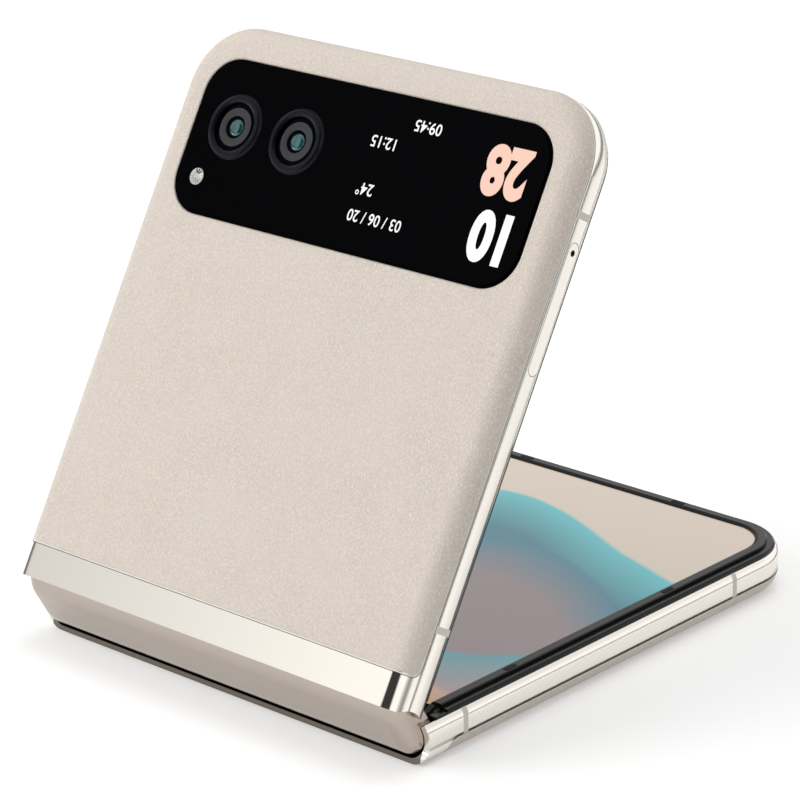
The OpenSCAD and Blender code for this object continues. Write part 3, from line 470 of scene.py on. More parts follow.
def sheet_half(name, place, half_width, x, end, corner, top, thick, free, materials, side):
    """One side of a folded sheet, from the fold line to end, as a closed slab."""
    middle = top - thick / 2
    rows = [free * i / BEND_ROWS for i in range(BEND_ROWS)]
    straight = end - corner
    count = max(2, int((straight - free) / ROW_STEP))
    rows += [free + (straight - free) * i / count for i in range(count)]
    if corner > 0:
        rows += [straight + corner * math.sin(math.pi / 2 * i / CORNER_ROWS)
                 for i in range(CORNER_ROWS + 1)]
    else:
        rows.append(end)
    verts, uv, faces = [], [], []
    for level in (top, top - thick):
        for s in rows:
            over = max(0.0, s - straight)
            inset = corner - math.sqrt(max(0.0, corner * corner - over * over)) if corner else 0.0
            width = half_width - inset
            ps, pz = bent(s, level, middle, free)
            for c in range(COLUMNS):
                px = x + width * (2 * c / (COLUMNS - 1) - 1)
                verts.append((px, ps, pz))
                uv.append((px * MM, side * s * MM))
    n, m = len(rows), COLUMNS
    low = n * m
    for i in range(n - 1):
        for j in range(m - 1):
            a = i * m + j
            faces.append((a, a + 1, a + m + 1, a + m))
            faces.append((low + a, low + a + m, low + a + m + 1, low + a + 1))
    for i in range(n - 1):
        for j, flip in ((0, False), (m - 1, True)):
            a, b = i * m + j, (i + 1) * m + j
            quad = (a, b, low + b, low + a)
            faces.append(quad[::-1] if flip else quad)
    for i, flip in ((0, True), (n - 1, False)):
        for j in range(m - 1):
            a, b = i * m + j, i * m + j + 1
            quad = (a, b, low + b, low + a)
            faces.append(quad if not flip else quad[::-1])
    obj = make(name, verts, faces, place, materials, uv=uv)
    mesh = bmesh.new()
    mesh.from_mesh(obj.data)
    bmesh.ops.recalc_face_normals(mesh, faces=mesh.faces)
    mesh.to_mesh(obj.data)
    mesh.free()
    return sharpen(obj, 40.0)


def bend_with(obj):
    """Bakes a sheet half's object transform into its mesh; the bend is made in sheet_half."""
    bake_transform(obj)


# %% [markdown]
# ## What the big screen shows
# A calm picture of layered hills in mist, in the beiges, teals and mauves of the phone's own
# colours. Each hill is a smooth step over a wavy line in the sheet's UV, blended over the last.
# The picture glows a little, as a lit screen does, under the sheet's own gloss.

# %% Screen picture
PANEL_BLACK = (0.004, 0.004, 0.004)
SCREEN_DIM, SCREEN_GLOW = 0.72, 0.85
SWAY = 16.0
SKY_HIGH = (0.53, 0.455, 0.375)
SKY_LOW = (0.36, 0.31, 0.33)
ACTIVE_HALF_W = 33.4
ACTIVE_END = 81.9
HILLS = (
    # place along the sheet, wave height, wave length, phase, near colour, far colour
    (66.0, 5.0, 82.0, 1.9, (0.0, 0.13, 0.18), (0.05, 0.40, 0.44)),
    (50.0, 6.0, 63.0, 0.2, (0.22, 0.165, 0.17), (0.03, 0.15, 0.21)),
    (24.0, 5.0, 71.0, 3.4, (0.30, 0.22, 0.23), (0.05, 0.24, 0.28)),
    (8.0, 4.5, 57.0, 5.0, (0.42, 0.35, 0.11), (0.42, 0.24, 0.20)),
    (-22.0, 6.5, 61.0, 1.1, (0.20, 0.36, 0.40), (0.03, 0.16, 0.21)),
    (-50.0, 6.0, 70.0, 5.2, (0.36, 0.29, 0.27), (0.19, 0.15, 0.19)),
)


def screen_picture():
    finish = Finish("screen", Roughness=0.1, Specular_IOR_Level=0.22, Coat_Weight=0.08,
                    Coat_Roughness=0.03)
    flat = finish.add("ShaderNodeUVMap", {"uv_map": "flat"}).outputs["UV"]
    split = finish.add("ShaderNodeSeparateXYZ", Vector=flat)
    across = finish.math("MULTIPLY", split.outputs["X"], 1000.0)
    along = finish.math("MULTIPLY", split.outputs["Y"], 1000.0)
    sway = finish.noise(28.0, 1.0, flat)
    drift = finish.math("MULTIPLY", finish.math("SUBTRACT", sway, 0.5), SWAY)
    lift = finish.math("MULTIPLY", finish.math("ADD", along, 80.0), 1 / 160.0, clamp=True)
    colour = finish.mix(lift, SKY_LOW, SKY_HIGH)
    for level, height, length, phase, near, far in HILLS:
        turns = finish.math("MULTIPLY", across, 6.283 / length)
        wave = finish.math("SINE", finish.math("ADD", turns, phase))
        crest = finish.math("ADD", finish.math("MULTIPLY", wave, height), drift)
        depth = finish.math("SUBTRACT", finish.math("ADD", crest, level), along)
        inside = finish.math("MULTIPLY", depth, 0.9, clamp=True)
        fade = finish.math("MULTIPLY", depth, 1 / 13.0, clamp=True)
        body = finish.mix(fade, far, near)
        colour = finish.mix(finish.math("MULTIPLY", inside, 0.93), colour, body)
    lit_x = finish.math("LESS_THAN", finish.math("ABSOLUTE", across), ACTIVE_HALF_W)
    lit_s = finish.math("LESS_THAN", finish.math("ABSOLUTE", along), ACTIVE_END)
    lit = finish.math("MULTIPLY", lit_x, lit_s)
    picture = finish.mix(lit, PANEL_BLACK, colour)
    dim = finish.mix(SCREEN_DIM, picture, (0.0, 0.0, 0.0))
    finish.set(finish.shader, Base_Color=dim, Emission_Color=picture,
               Emission_Strength=SCREEN_GLOW)
    return finish.material


screen_finish = screen_picture()

# %% The screen's two sides
SHEET_HALF_W = 34.3
SHEET_END = 82.7
SHEET_CORNER = 7.3
for name, place, body, side in (("screen_base_side", BASE, "base_half", 1),
                                ("screen_cover_side", COVER, "cover_half", -1)):
    sheet = sheet_half(name, place, SHEET_HALF_W, 0.0, SHEET_END, SHEET_CORNER, SCREEN_TOP,
                       SCREEN_T, FOLD_FREE, [screen_finish], side)
    bend_with(sheet)
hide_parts("base_screen", "screen_fold")
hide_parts("cover_screen")

# %% The printed cable across the hinge
CABLE_X, CABLE_HALF_W = 14.0, 4.0
CABLE_TOP, CABLE_T = 5.35, 0.15
CABLE_FREE, CABLE_END = 7.6, 17.0
for name, place, body, side in (("cable_base_side", BASE, "base_half", 1),
                                ("cable_cover_side", COVER, "cover_half", -1)):
    cable = sheet_half(name, place, CABLE_HALF_W, CABLE_X, CABLE_END, 0.0, CABLE_TOP, CABLE_T,
                       CABLE_FREE, [flex_film], side)
    bend_with(cable)
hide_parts("hinge_flex_cable")

# %% [markdown]
# ## Leather backs
# The leather wraps over the rounded edge as far as the seam, a skin's thickness proud of the
# metal, and tucks into the gap there, at the band and round the glass. Stations run along the two
# sides and round the free end, each with one column of points from the seam in to the flat.
# The flat between them, less the window, is filled with triangles.

# %% Outlines and profiles
SKIN = 0.045                          # how far the leather stands proud of the metal
FULL_SKIN_IN = 1.5                    # distance from the flat at which it does so in full
EDGE_STEPS, CORNER_STEPS = 20, 24
FLAT_MARGIN = 0.5
CORNER_TURN = 1.3                     # rounding of the leather's corners beside the band
ROLL_R = 0.3
ROLL_STEPS = (0.0, 0.02, 0.06, 0.12, 0.2, 0.3)
ROLL_END = 0.6
TUCK = 0.3
SEAM_TUCK = (0.06, 0.015)


def rounded_outline(x0, x1, s0, s1, radius, per_corner=14):
    """Points of a rounded rectangle, anticlockwise from its low s side."""
    points = []
    corners = ((x1 - radius, s0 + radius, -90), (x1 - radius, s1 - radius, 0),
               (x0 + radius, s1 - radius, 90), (x0 + radius, s0 + radius, 180))
    for cx, cs, start in corners:
        for i in range(per_corner + 1):
            angle = math.radians(start + 90 * i / per_corner)
            points.append((cx + radius * math.cos(angle), cs + radius * math.sin(angle)))
    return points


def edge_profile():
    """Depth in from the side, height and lean of the leather's face, from the seam to the flat."""
    seam = math.acos((EDGE_R - SEAM_Z) / EDGE_R)
    points = []
    for i in range(EDGE_STEPS + 1):
        lean = seam * (1 - i / EDGE_STEPS)
        proud = SKIN * max(0.0, min(1.0, EDGE_R * math.sin(lean) / FULL_SKIN_IN))
        radius = EDGE_R + proud
        points.append((EDGE_R - radius * math.sin(lean), EDGE_R - radius * math.cos(lean), lean))
    return points + [(EDGE_R + FLAT_MARGIN, 0.0, 0.0)]


def rounding(run, radius):
    """How far a quarter-round edge draws back at a run from its start, and 0 past its end."""
    return 0.0 if run >= radius else radius - math.sqrt(radius**2 - (radius - run) ** 2)


PROFILE = edge_profile()
print("the leather turns up over", round(PROFILE[-1][0], 2), "mm from the side")


def leather_stations():
    """Places along the two sides and the free end: where a depth leads, and an inward tuck."""
    start = BAND_LEN + COVER_GAP
    near = [(start, TUCK)]
    near += [(start + offset, rounding(offset, ROLL_R)) for offset in ROLL_STEPS]
    near.append((start + ROLL_END, 0.0))
    cx, cs = HALF_W - CORNER_R, HALF_LEN - CORNER_R
    right = [(lambda depth, s=s: (HALF_W - depth, s), extra) for s, extra in near]
    for i in range(CORNER_STEPS + 1):
        angle = math.pi / 2 * i / CORNER_STEPS
        right.append((lambda depth, a=angle: (cx + (CORNER_R - depth) * math.cos(a),
                                              cs + (CORNER_R - depth) * math.sin(a)), 0.0))
    left = [(lambda depth, way=way: (-way(depth)[0], way(depth)[1]), extra)
            for way, extra in right]
    return right + left[::-1], len(near)


def window_rings():
    """The leather's edge round the glass, from its tucked inner edge out to the flat."""
    rings = []
    for offset in ROLL_STEPS + (ROLL_END,):
        grow = COVER_GAP + offset
        outline = rounded_outline(-GLASS_W / 2 - grow, GLASS_W / 2 + grow,
                                  GLASS_POS - GLASS_LEN / 2 - grow,
                                  GLASS_POS + GLASS_LEN / 2 + grow, GLASS_R + grow)
        rings.append([(x, s, rounding(offset, ROLL_R)) for x, s in outline])
    return [[(x, s, TUCK) for x, s, z in rings[0]]] + rings


# %% The two backs
def leather_back(name, place, window):
    stations, near = leather_stations()
    mesh = bmesh.new()
    grid = []
    for number, (way, extra) in enumerate(stations):
        column = []
        beside = min(number, len(stations) - 1 - number) < near
        for k, (depth, z, lean) in enumerate(PROFILE):
            edge = SEAM_TUCK[k] if k < len(SEAM_TUCK) else 0.0
            inward = max(extra, edge)
            x, s = way(depth + inward * math.sin(lean))
            back = rounding((PROFILE[0][2] - lean) * EDGE_R, CORNER_TURN) if beside else 0.0
            column.append((x, s + back, z + inward * math.cos(lean)))
        depth, z, lean = PROFILE[0]
        x, s = way(depth + TUCK * math.sin(lean))
        tuck = (x, s + (CORNER_TURN if beside else 0.0), z + TUCK * math.cos(lean))
        grid.append([mesh.verts.new(point) for point in [tuck] + column])
    for a, b in zip(grid, grid[1:]):
        for k in range(len(a) - 1):
            mesh.faces.new((a[k], b[k], b[k + 1], a[k + 1]))
    last = len(grid) - 1
    for k in range(near - 1):
        mesh.faces.new((grid[k][-1], grid[k + 1][-1], grid[last - k - 1][-1],
                        grid[last - k][-1]))
    borders = [[column[-1] for column in grid[near - 1:len(grid) - near + 1]]]
    if window:
        hole_loops = [[mesh.verts.new(point) for point in ring] for ring in window_rings()]
        for inner, outer in zip(hole_loops, hole_loops[1:]):
            for i in range(len(outer)):
                j = (i + 1) % len(outer)
                mesh.faces.new((inner[i], inner[j], outer[j], outer[i]))
        borders.append(hole_loops[-1])
    edges = []
    for loop in borders:
        for a, b in zip(loop, loop[1:] + loop[:1]):
            edges.append(mesh.edges.get((a, b)) or mesh.edges.new((a, b)))
    bmesh.ops.triangle_fill(mesh, use_beauty=True, use_dissolve=False, edges=edges)
    for face in mesh.faces:
        face.smooth = True
    for vert in mesh.verts:
        vert.co = (place @ vert.co) * MM
    bmesh.ops.recalc_face_normals(mesh, faces=mesh.faces)
    flat_face = max(mesh.faces, key=lambda face: face.calc_area())
    if flat_face.normal.dot(facing(place)) < 0:
        bmesh.ops.reverse_faces(mesh, faces=mesh.faces)
    data = bpy.data.meshes.new(name)
    mesh.to_mesh(data)
    mesh.free()
    data.materials.append(leather)
    return sharpen(stand(name, data), 50.0)


for name, place, body, node, window in (
        ("leather_base", BASE, "base_half", "base_back_cover", False),
        ("leather_cover", COVER, "cover_half", "cover_back_cover", True)):
    back = leather_back(name, place, window)
    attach(back, body)
    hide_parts(node)

# %% [markdown]
# ## Lenses
# A camera behind glass shows as rings: a raised dark ring, black glass, a flat grey ring, and a
# small domed lens whose coating shines teal, partly by its tinted reflection and partly by teal
# glints painted into its colour. Each is a lathe profile, turned round the camera's axis in one
# helper.

# %% Lathe
def lathe(name, profile, centre, place, materials, indices, segments=64, level=0.0, up=-1):
    """Turns (radius, height) points about an axis on a level: up is -1 on the outer face."""
    verts, faces, picks = [], [], []
    for r, out in profile:
        for k in range(segments):
            angle = 2 * math.pi * k / segments
            verts.append((centre[0] + r * math.cos(angle), centre[1] + r * math.sin(angle),
                          level + up * out))
    for i in range(len(profile) - 1):
        for k in range(segments):
            j = (k + 1) % segments
            a, b = i * segments, (i + 1) * segments
            faces.append((a + k, a + j, b + j, b + k))
            picks.append(indices[i])
    if profile[-1][0] > 0:
        faces.append([(len(profile) - 1) * segments + k for k in range(segments)])
        picks.append(indices[-1])
    obj = make(name, verts, faces, place, materials, picks)
    mesh = bmesh.new()
    mesh.from_mesh(obj.data)
    bmesh.ops.recalc_face_normals(mesh, faces=mesh.faces)
    outward = facing(place, up)
    cap = max(mesh.faces, key=lambda f: abs(f.normal.dot(outward)) * f.calc_area())
    if cap.normal.dot(outward) < 0:
        bmesh.ops.reverse_faces(mesh, faces=mesh.faces)
    mesh.to_mesh(obj.data)
    mesh.free()
    return sharpen(obj, 30.0)


LENS_DARK, LENS_PAINTED_GLINT, LENS_TINT = (0.002, 0.008, 0.01), (0.01, 0.09, 0.10), (0.35, 1.0, 0.95)


def coated_lens():
    finish = Finish("coated lens", Roughness=0.03, Coat_Weight=1.0, Coat_Roughness=0.02,
                    Specular_IOR_Level=0.9, Specular_Tint=LENS_TINT)
    # painted reflection: noise spreads teal glints into the lens's colour; the tinted specular is
    # the coating's own
    glow = finish.noise(900.0, 2.0)
    finish.set(finish.shader, Base_Color=finish.mix(glow, LENS_DARK, LENS_PAINTED_GLINT))
    return finish.material


lens_coat = coated_lens()

# %% The two cameras behind the window
LENS_PROFILE = (
    # radius, height over the outer face, finish from here inwards
    (3.80, -0.10, 0), (3.80, 0.10, 0), (3.75, 0.14, 0), (2.95, 0.14, 0), (2.88, 0.17, 1),
    (2.78, 0.18, 1), (1.78, 0.18, 1), (1.70, 0.14, 0), (1.60, -0.05, 0), (1.25, -0.08, 2),
    (1.2, -0.02, 2), (1.0, 0.06, 2), (0.75, 0.12, 2), (0.45, 0.155, 2), (0.15, 0.17, 2),
)
for number, x in enumerate(CAMERA_XS, 1):
    lens = lathe(f"lens_{number}", [(r, z) for r, z, _ in LENS_PROFILE], (x, CAMERA_POS), COVER,
                 [black_glass, ring_grey, lens_coat], [pick for _, _, pick in LENS_PROFILE])
    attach(lens, "cover_half")
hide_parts("camera_windows")

# %% The small camera in the big screen
FRONT_S = HALF_LEN - 6.2
FRONT_PROFILE = ((1.9, 0.005, 0), (1.85, 0.03, 0), (1.0, 0.03, 0), (0.9, 0.02, 1),
                 (0.5, 0.05, 1), (0.15, 0.06, 1))
front_lens = lathe("front_lens", [(r, z) for r, z, _ in FRONT_PROFILE], (0.0, FRONT_S), COVER,
                   [black_glass, lens_coat], [pick for _, _, pick in FRONT_PROFILE],
                   segments=48, level=SCREEN_TOP, up=1)
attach(front_lens, "cover_half")

# %% [markdown]
# ## Small things that repeat
# The flash is two rings of bright facets, the charging socket has a row of gold contacts on each
# face of its tongue, a fine steel mesh closes each sound hole and low rubber pads stand on the
# bezels. A pale bead of painted highlight and a fine dark line of painted shadow run round each
# leather back. Copying a block or sweeping a circle is what Geometry Nodes do well. Each tree has
# named inputs, makes its instances real and gives them their finish, and the result is kept as a
# plain mesh.

# %% Trees
def start_tree(name, inputs):
    """A node group with named inputs and one geometry output, and its inputs' identifiers."""
    group = bpy.data.node_groups.new(name, "GeometryNodeTree")
    labels = {label: group.interface.new_socket(label, in_out="INPUT",
                                                socket_type="NodeSocket" + kind).identifier
              for label, kind in inputs}
    group.interface.new_socket("Geometry", in_out="OUTPUT", socket_type="NodeSocketGeometry")
    return group, labels, group.nodes.new("NodeGroupInput").outputs


def end_tree(group, source, geometry):
    """Makes the instances real, gives them their finish and puts them out."""
    real = group.nodes.new("GeometryNodeRealizeInstances")
    coat = group.nodes.new("GeometryNodeSetMaterial")
    group.links.new(geometry, real.inputs[0])
    group.links.new(real.outputs[0], coat.inputs["Geometry"])
    group.links.new(source["Finish"], coat.inputs["Material"])
    group.links.new(coat.outputs[0], group.nodes.new("NodeGroupOutput").inputs[0])


def repeat_tree(name, ring):
    """Copies a block round a ring of radius Reach, or along a row with Reach between them."""
    group, labels, source = start_tree(name, (
        ("Count", "Int"), ("Reach", "Float"), ("Length", "Float"), ("Width", "Float"),
        ("Height", "Float"), ("Tilt", "Float"), ("Finish", "Material")))
    add, link = group.nodes.new, group.links.new
    on_points = add("GeometryNodeInstanceOnPoints")
    if ring:
        points = add("GeometryNodeMeshCircle")
        link(source["Count"], points.inputs["Vertices"])
        link(source["Reach"], points.inputs["Radius"])
        align = add("FunctionNodeAlignRotationToVector")
        align.axis = "X"
        link(add("GeometryNodeInputPosition").outputs[0], align.inputs["Vector"])
        tilt = add("FunctionNodeRotateRotation")
        tilt.rotation_space = "LOCAL"
        link(align.outputs[0], tilt.inputs[0])
        lean = add("ShaderNodeCombineXYZ")
        link(source["Tilt"], lean.inputs["X"])
        link(lean.outputs[0], tilt.inputs[1])
        link(tilt.outputs[0], on_points.inputs["Rotation"])
    else:
        points = add("GeometryNodeMeshLine")
        link(source["Count"], points.inputs["Count"])
        step = add("ShaderNodeCombineXYZ")
        link(source["Reach"], step.inputs["X"])
        link(step.outputs[0], points.inputs["Offset"])
    link(points.outputs["Mesh"], on_points.inputs["Points"])
    size = add("ShaderNodeCombineXYZ")
    for label, axis in (("Length", "X"), ("Width", "Y"), ("Height", "Z")):
        link(source[label], size.inputs[axis])
    block = add("GeometryNodeMeshCube")
    link(size.outputs[0], block.inputs["Size"])
    link(block.outputs["Mesh"], on_points.inputs["Instance"])
    end_tree(group, source, on_points.outputs[0])
    return group, labels


def bead_tree():
    """Sweeps a circle of the given Radius along a Path of edges."""
    group, labels, source = start_tree("bead along a path", (
        ("Path", "Geometry"), ("Radius", "Float"), ("Finish", "Material")))
    add, link = group.nodes.new, group.links.new
    curve = add("GeometryNodeMeshToCurve")
    link(source["Path"], curve.inputs[0])
    section = add("GeometryNodeCurvePrimitiveCircle")
    section.inputs["Resolution"].default_value = 8
    link(source["Radius"], section.inputs["Radius"])
    swept = add("GeometryNodeCurveToMesh")
    swept.inputs["Fill Caps"].default_value = True
    link(curve.outputs[0], swept.inputs["Curve"])
    link(section.outputs["Curve"], swept.inputs["Profile Curve"])
    end_tree(group, source, swept.outputs[0])
    return group, labels


def repeated(name, tree, place, body, slot, path=(), **values):
    """Runs a tree on a path of points and keeps its result as a mesh that rides on a body."""
    group, labels = tree
    start = bpy.data.meshes.new(name + "_holder")
    start.from_pydata(path, [(i, i + 1) for i in range(len(path) - 1)], [])
    holder = bpy.data.objects.new(name + "_holder", start)
    bpy.context.scene.collection.objects.link(holder)
    modifier = holder.modifiers.new("repeat", "NODES")
    modifier.node_group = group
    for label, value in values.items():
        modifier[labels[label]] = value
    bpy.context.view_layer.update()
    mesh = bpy.data.meshes.new_from_object(
        holder.evaluated_get(bpy.context.evaluated_depsgraph_get()))
    bpy.data.objects.remove(holder)
    for vert in mesh.vertices:
        vert.co = (place @ vert.co) * MM
    if place.determinant() < 0:
        mesh.flip_normals()
    obj = stand(name, mesh)
    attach(obj, body)
    return obj


ring_tree = repeat_tree("repeat round a ring", True)
row_tree = repeat_tree("repeat along a row", False)
bead = bead_tree()
HALVES = (("base", BASE, "base_half"), ("cover", COVER, "cover_half"))

# %% Flash facets
FACET_SLANT, FACET_HEIGHT = 0.36, 0.05
OUTWARDS = Matrix.Scale(-1, 4, (0, 0, 1))
on_flash = COVER @ Matrix.Translation((FLASH[0], FLASH[1], -GLASS_PROUD)) @ OUTWARDS
for name, reach, count, length, tilt in (("flash_outer_facets", 0.82, 14, 0.62, 0.5),
                                         ("flash_inner_facets", 0.33, 7, 0.3, -0.5)):
    repeated(name, ring_tree, on_flash, "cover_half", "flash_plastic", Count=count, Reach=reach,
             Length=length, Width=reach * FACET_SLANT, Height=FACET_HEIGHT, Tilt=tilt,
             Finish=facet_metal)

# %% Painted highlight and shadow lines round the leather
BEAD_R, BEAD_SINK = 0.1, 0.04
# the dark seam line is painted shadow, laid on the metal just outside the leather
SEAM_LINE_R, SEAM_LINE_SINK, SEAM_LINE_OUT = 0.06, 0.03, 0.15
RISE_STEPS = 32


def leather_border(grow, sink):
    """A closed path round a leather back, grown outwards and sunk in by small amounts."""
    seam = PROFILE[0][2] + grow / EDGE_R
    radius = EDGE_R - sink
    side = []
    for i in range(RISE_STEPS + 1):
        lean = seam * i / RISE_STEPS
        back = rounding((seam - lean) * EDGE_R, CORNER_TURN + grow)
        side.append((HALF_W - EDGE_R + radius * math.sin(lean), BAND_LEN + COVER_GAP - grow + back,
                     EDGE_R - radius * math.cos(lean)))
    z = EDGE_R - radius * math.cos(seam)
    turn_r = CORNER_R - (EDGE_R - radius * math.sin(seam))
    cx, cs = HALF_W - CORNER_R, HALF_LEN - CORNER_R
    for i in range(CORNER_STEPS + 1):
        angle = math.pi / 2 * i / CORNER_STEPS
        side.append((cx + turn_r * math.cos(angle), cs + turn_r * math.sin(angle), z))
    points = side + [(-x, s, z) for x, s, z in reversed(side)]
    return points + points[:1]


for name, place, body in HALVES:
    # painted highlight: a pale bead along the leather's rolled edge at the seam
    repeated("leather_edge_highlight_" + name, bead, place, body, "leather",
             path=leather_border(0.0, BEAD_SINK), Radius=BEAD_R, Finish=painted_highlight_bead)
    # painted shadow: a dark line just outside the leather's seam
    repeated("seam_shadow_line_" + name, bead, place, body, "black_plastic",
             path=leather_border(SEAM_LINE_OUT, SEAM_LINE_SINK), Radius=SEAM_LINE_R,
             Finish=painted_seam_shadow)

# %% Socket contacts
PORT_Z = 3.5
CONTACTS, CONTACT_PITCH = 12, 0.5
CONTACT_W, CONTACT_LEN, CONTACT_T = 0.25, 3.0, 0.03
TONGUE_FACE = 0.355                   # from the tongue's middle to a contact's middle
for name, side in (("contacts_upper", 1), ("contacts_lower", -1)):
    on_tongue = BASE @ Matrix.Translation((-(CONTACTS - 1) * CONTACT_PITCH / 2, HALF_LEN - 4.0,
                                           PORT_Z + side * TONGUE_FACE))
    repeated(name, row_tree, on_tongue, "base_half", "gear_brass", Count=CONTACTS,
             Reach=CONTACT_PITCH, Length=CONTACT_W, Width=CONTACT_LEN, Height=CONTACT_T,
             Finish=contact_gold)

# %% Rubber pads on the bezels
PAD_LEN, PAD_W, PAD_T = 2.2, 0.7, 0.12
PAD_IN = 2.425                        # from the half's side or free end to a pad's middle
ALONG_S = Matrix.Rotation(math.pi / 2, 4, "Z")
PAD_ROWS = (
    # x and s of the first pad, its turn, distance to the second
    (HALF_W - PAD_IN, 20.0, ALONG_S, 35.0),
    (-HALF_W + PAD_IN, 20.0, ALONG_S, 35.0),
    (-15.0, HALF_LEN - PAD_IN, Matrix(), 30.0),
)
for name, place, body in HALVES:
    for number, (x, s, along, gap) in enumerate(PAD_ROWS, 1):
        pads = repeated(f"{name}_pads_{number}", row_tree,
                        place @ Matrix.Translation((x, s, HALF_T)) @ along, body,
                        "bumper_rubber", Count=2, Reach=gap, Length=PAD_LEN, Width=PAD_W,
                        Height=PAD_T, Finish=bumper_rubber)
        if number == 1:
            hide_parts(name + "_bumpers")

# %% Sound meshes
SOUND_FROM, SOUND_PITCH, SOUND_HOLES = 12.0, 2.4, 5
SOUND_IN = 1.2
MESH_SIZE, MESH_T = 1.5, 0.1
in_holes = BASE @ Matrix.Translation((SOUND_FROM, HALF_LEN - SOUND_IN, PORT_Z))
repeated("sound_meshes", row_tree, in_holes, "base_half", "steel", Count=SOUND_HOLES,
         Reach=SOUND_PITCH, Length=MESH_SIZE, Width=MESH_T, Height=MESH_SIZE,
         Finish=woven_steel)

# %% [markdown]
# ## What the small screen shows
# The outer screen shows the time in large figures and a few small numbers. It is read from the
# other end of the phone, so the writing runs upside down here. Text is made a mesh, thickened to
# a bold face, and laid a hair above the glass.

# %% Numbers on the outer screen
INK_LIFT = 0.012
def lit_ink(name, colour, strength):
    finish = Finish(name, Base_Color=tuple(0.08 * c for c in colour), Roughness=0.4,
                    Emission_Color=colour, Emission_Strength=strength)
    shade = finish.noise(600.0, 1.0)
    finish.set(finish.shader, Roughness=finish.between(shade, 0.35, 0.45))
    return finish.material


white_ink = lit_ink("white pixels", (0.96, 0.96, 0.96), 0.95)
pink_ink = lit_ink("pink pixels", (0.95, 0.62, 0.50), 0.92)


def writing(name, words, x_from, s_low, height, ink, bold, squeeze):
    """Words whose first letter starts at x_from and which run towards -x, head down."""
    curve = bpy.data.curves.new(name, "FONT")
    curve.body = words
    curve.size = 1.0
    curve.offset = bold
    curve.resolution_u = 6
    source = bpy.data.objects.new(name + "_text", curve)
    bpy.context.scene.collection.objects.link(source)
    bpy.context.view_layer.update()
    mesh = bpy.data.meshes.new_from_object(
        source.evaluated_get(bpy.context.evaluated_depsgraph_get()))
    bpy.data.objects.remove(source)
    ys = [v.co.y for v in mesh.vertices]
    xs = [v.co.x for v in mesh.vertices]
    scale = height / (max(ys) - min(ys))
    for vert in mesh.vertices:
        x = x_from - (vert.co.x - min(xs)) * scale * squeeze
        s = s_low + height - (vert.co.y - min(ys)) * scale
        vert.co = (COVER @ Vector((x, s, -GLASS_PROUD - INK_LIFT))) * MM
    mesh.materials.clear()
    mesh.materials.append(ink)
    mesh.update()
    if mesh.polygons[0].normal.dot(facing(COVER)) < 0:
        mesh.flip_normals()
    obj = stand(name, mesh)
    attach(obj, "cover_half")
    print(name, "is", round((max(xs) - min(xs)) * scale * squeeze, 1), "mm wide")


for line in (
        # name, words, first x, lowest s, height, ink, boldness, width factor
        ("clock_hours", "10", 29.4, 59.9, 7.4, white_ink, 0.05, 0.80),
        ("clock_minutes", "28", 29.4, 69.0, 7.4, pink_ink, 0.05, 0.80),
        ("next_hours", "09:45", 12.6, 75.4, 1.7, white_ink, 0.01, 0.95),
        ("next_minutes", "12:15", 5.6, 72.0, 1.7, white_ink, 0.01, 0.95),
        ("degrees", "24°", 4.4, 65.0, 1.8, white_ink, 0.01, 0.95),
        ("day_numbers", "03 / 06 / 20", 11.2, 61.2, 1.7, white_ink, 0.01, 0.9)):
    writing(*line)

# %% [markdown]
# ## Floor and light
# A pale floor keeps the soft shadow. Two large lamps light the leather evenly. The camera sees a
# white world, while polished metal reflects a studio: bright at eye level, darker near the ground
# and on one side, with one black card that draws the upright dark line in the band.

# %% Floor
FLOOR_HALF, FLOOR_DROP = 3.0, 0.00002
FLOOR_COLOUR, FLOOR_GLOW = (0.86, 0.86, 0.86), 0.30


def stage_floor():
    mesh = bpy.data.meshes.new("floor")
    corners = [(x * FLOOR_HALF, y * FLOOR_HALF, 0) for x, y in ((-1, -1), (1, -1), (1, 1), (-1, 1))]
    mesh.from_pydata(corners, [], [(0, 1, 2, 3)])
    finish = Finish("floor", Base_Color=FLOOR_COLOUR, Roughness=0.9, Specular_IOR_Level=0.1)
    path = finish.add("ShaderNodeLightPath").outputs
    seen = finish.math("MAXIMUM", path["Is Camera Ray"],
                       finish.math("MAXIMUM", path["Is Glossy Ray"], path["Is Transmission Ray"]))
    glow = finish.add("ShaderNodeEmission", Color=(1.0, 1.0, 1.0))
    finish.tree.links.new(finish.math("MULTIPLY", seen, FLOOR_GLOW), glow.inputs["Strength"])
    both = finish.add("ShaderNodeAddShader")
    finish.tree.links.new(finish.shader.outputs[0], both.inputs[0])
    finish.tree.links.new(glow.outputs[0], both.inputs[1])
    finish.tree.links.new(both.outputs[0], finish.tree.nodes["Material Output"].inputs["Surface"])
    mesh.materials.append(finish.material)
    obj = stand("floor", mesh)
    obj.location = (0, 0, -FLOOR_DROP)


stage_floor()


# %% World
STUDIO_LEVELS = (
    # height of the direction, brightness
    (0.0, 0.22), (0.13, 0.26), (0.26, 1.0), (0.55, 1.0), (0.75, 0.75), (1.0, 0.68))
STUDIO_WARMTH = 0.985
CARD_FROM_X, CARD_TO_X, CARD_BEFORE_Y = -0.46, 0.50, -0.45
CARD_EDGES = (9.0, 7.0, 9.0)
CARD_BLACK = 0.96
SIDE_FROM_X, SIDE_EDGE = -0.70, 12.0
SIDE_LEVEL, SIDE_RISE = 0.75, 0.40
SOFT_COLOUR, SOFT_LEVEL = (1.0, 1.0, 0.99, 1.0), 0.5


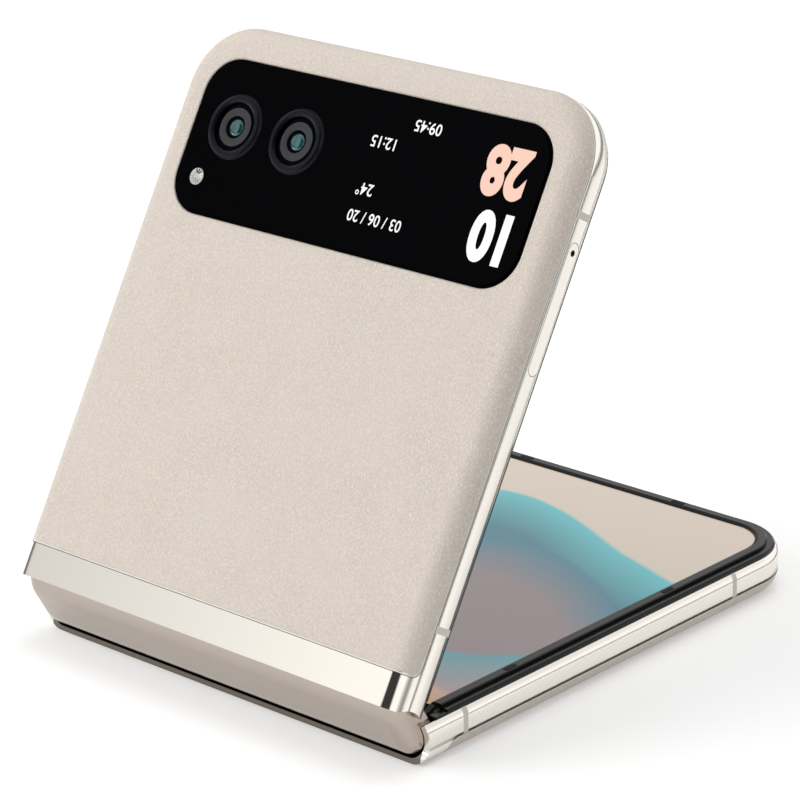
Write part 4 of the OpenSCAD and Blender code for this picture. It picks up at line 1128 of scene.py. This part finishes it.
def studio_world():
    world = bpy.data.worlds.new("studio")
    bpy.context.scene.world = world
    world.use_nodes = True
    tree = world.node_tree
    tree.nodes.clear()
    add, link = tree.nodes.new, tree.links.new
    split = add("ShaderNodeSeparateXYZ")
    link(add("ShaderNodeTexCoord").outputs["Generated"], split.inputs[0])
    across, ahead = split.outputs["X"], split.outputs["Y"]
    ramp = add("ShaderNodeValToRGB")
    link(split.outputs["Z"], ramp.inputs["Fac"])
    elements = ramp.color_ramp.elements
    while len(elements) < len(STUDIO_LEVELS):
        elements.new(0.5)
    for element, (position, value) in zip(elements, STUDIO_LEVELS):
        element.position = position
        element.color = (value, value, value * STUDIO_WARMTH, 1.0)
    card = math_node(tree, "MULTIPLY", math_node(tree, "ADD", across, -CARD_FROM_X),
                     CARD_EDGES[0], True)
    for where, edge in ((math_node(tree, "SUBTRACT", CARD_TO_X, across), CARD_EDGES[1]),
                        (math_node(tree, "SUBTRACT", CARD_BEFORE_Y, ahead), CARD_EDGES[2])):
        card = math_node(tree, "MULTIPLY", card, math_node(tree, "MULTIPLY", where, edge, True))
    open_part = math_node(tree, "SUBTRACT", 1.0, math_node(tree, "MULTIPLY", card, CARD_BLACK))
    side = math_node(tree, "MULTIPLY", math_node(tree, "ADD", across, -SIDE_FROM_X), SIDE_EDGE,
                     True)
    side = math_node(tree, "ADD", math_node(tree, "MULTIPLY", side, SIDE_RISE), SIDE_LEVEL)
    gloss = add("ShaderNodeBackground")
    link(ramp.outputs["Color"], gloss.inputs["Color"])
    link(math_node(tree, "MULTIPLY", open_part, side), gloss.inputs["Strength"])
    soft = add("ShaderNodeBackground")
    soft.inputs["Color"].default_value = SOFT_COLOUR
    soft.inputs["Strength"].default_value = SOFT_LEVEL
    white = add("ShaderNodeBackground")
    white.inputs["Color"].default_value = (1, 1, 1, 1)
    path = add("ShaderNodeLightPath").outputs
    shader = soft.outputs[0]
    for ray, seen in (("Is Glossy Ray", gloss), ("Is Transmission Ray", white),
                      ("Is Camera Ray", white)):
        mix = add("ShaderNodeMixShader")
        link(path[ray], mix.inputs[0])
        link(shader, mix.inputs[1])
        link(seen.outputs[0], mix.inputs[2])
        shader = mix.outputs[0]
    link(shader, add("ShaderNodeOutputWorld").inputs["Surface"])


studio_world()


# %% Lamps
def soft_lamp(name, place, aim_at, size, power, mirrored=False):
    """A rectangular lamp. Only a mirrored one shows in polished surfaces."""
    light = bpy.data.lights.new(name, "AREA")
    light.shape = "RECTANGLE"
    light.size, light.size_y = size
    light.energy = power
    obj = bpy.data.objects.new(name, light)
    obj.location = place
    obj.rotation_euler = (Vector(aim_at) - Vector(place)).to_track_quat("-Z", "Y").to_euler()
    obj.visible_glossy = mirrored
    bpy.context.scene.collection.objects.link(obj)


soft_lamp("key_lamp", (-0.75, -0.85, 0.75), (0, 0, 0.04), (0.9, 0.9), 8.5)
soft_lamp("top_lamp", (0.0, 0.3, 1.2), (0, 0, 0.02), (0.9, 0.9), 4.0)
soft_lamp("strip_lamp", (-0.45, -0.62, 0.09), (0, -0.04, 0.01), (0.5, 0.05), 0.35, mirrored=True)
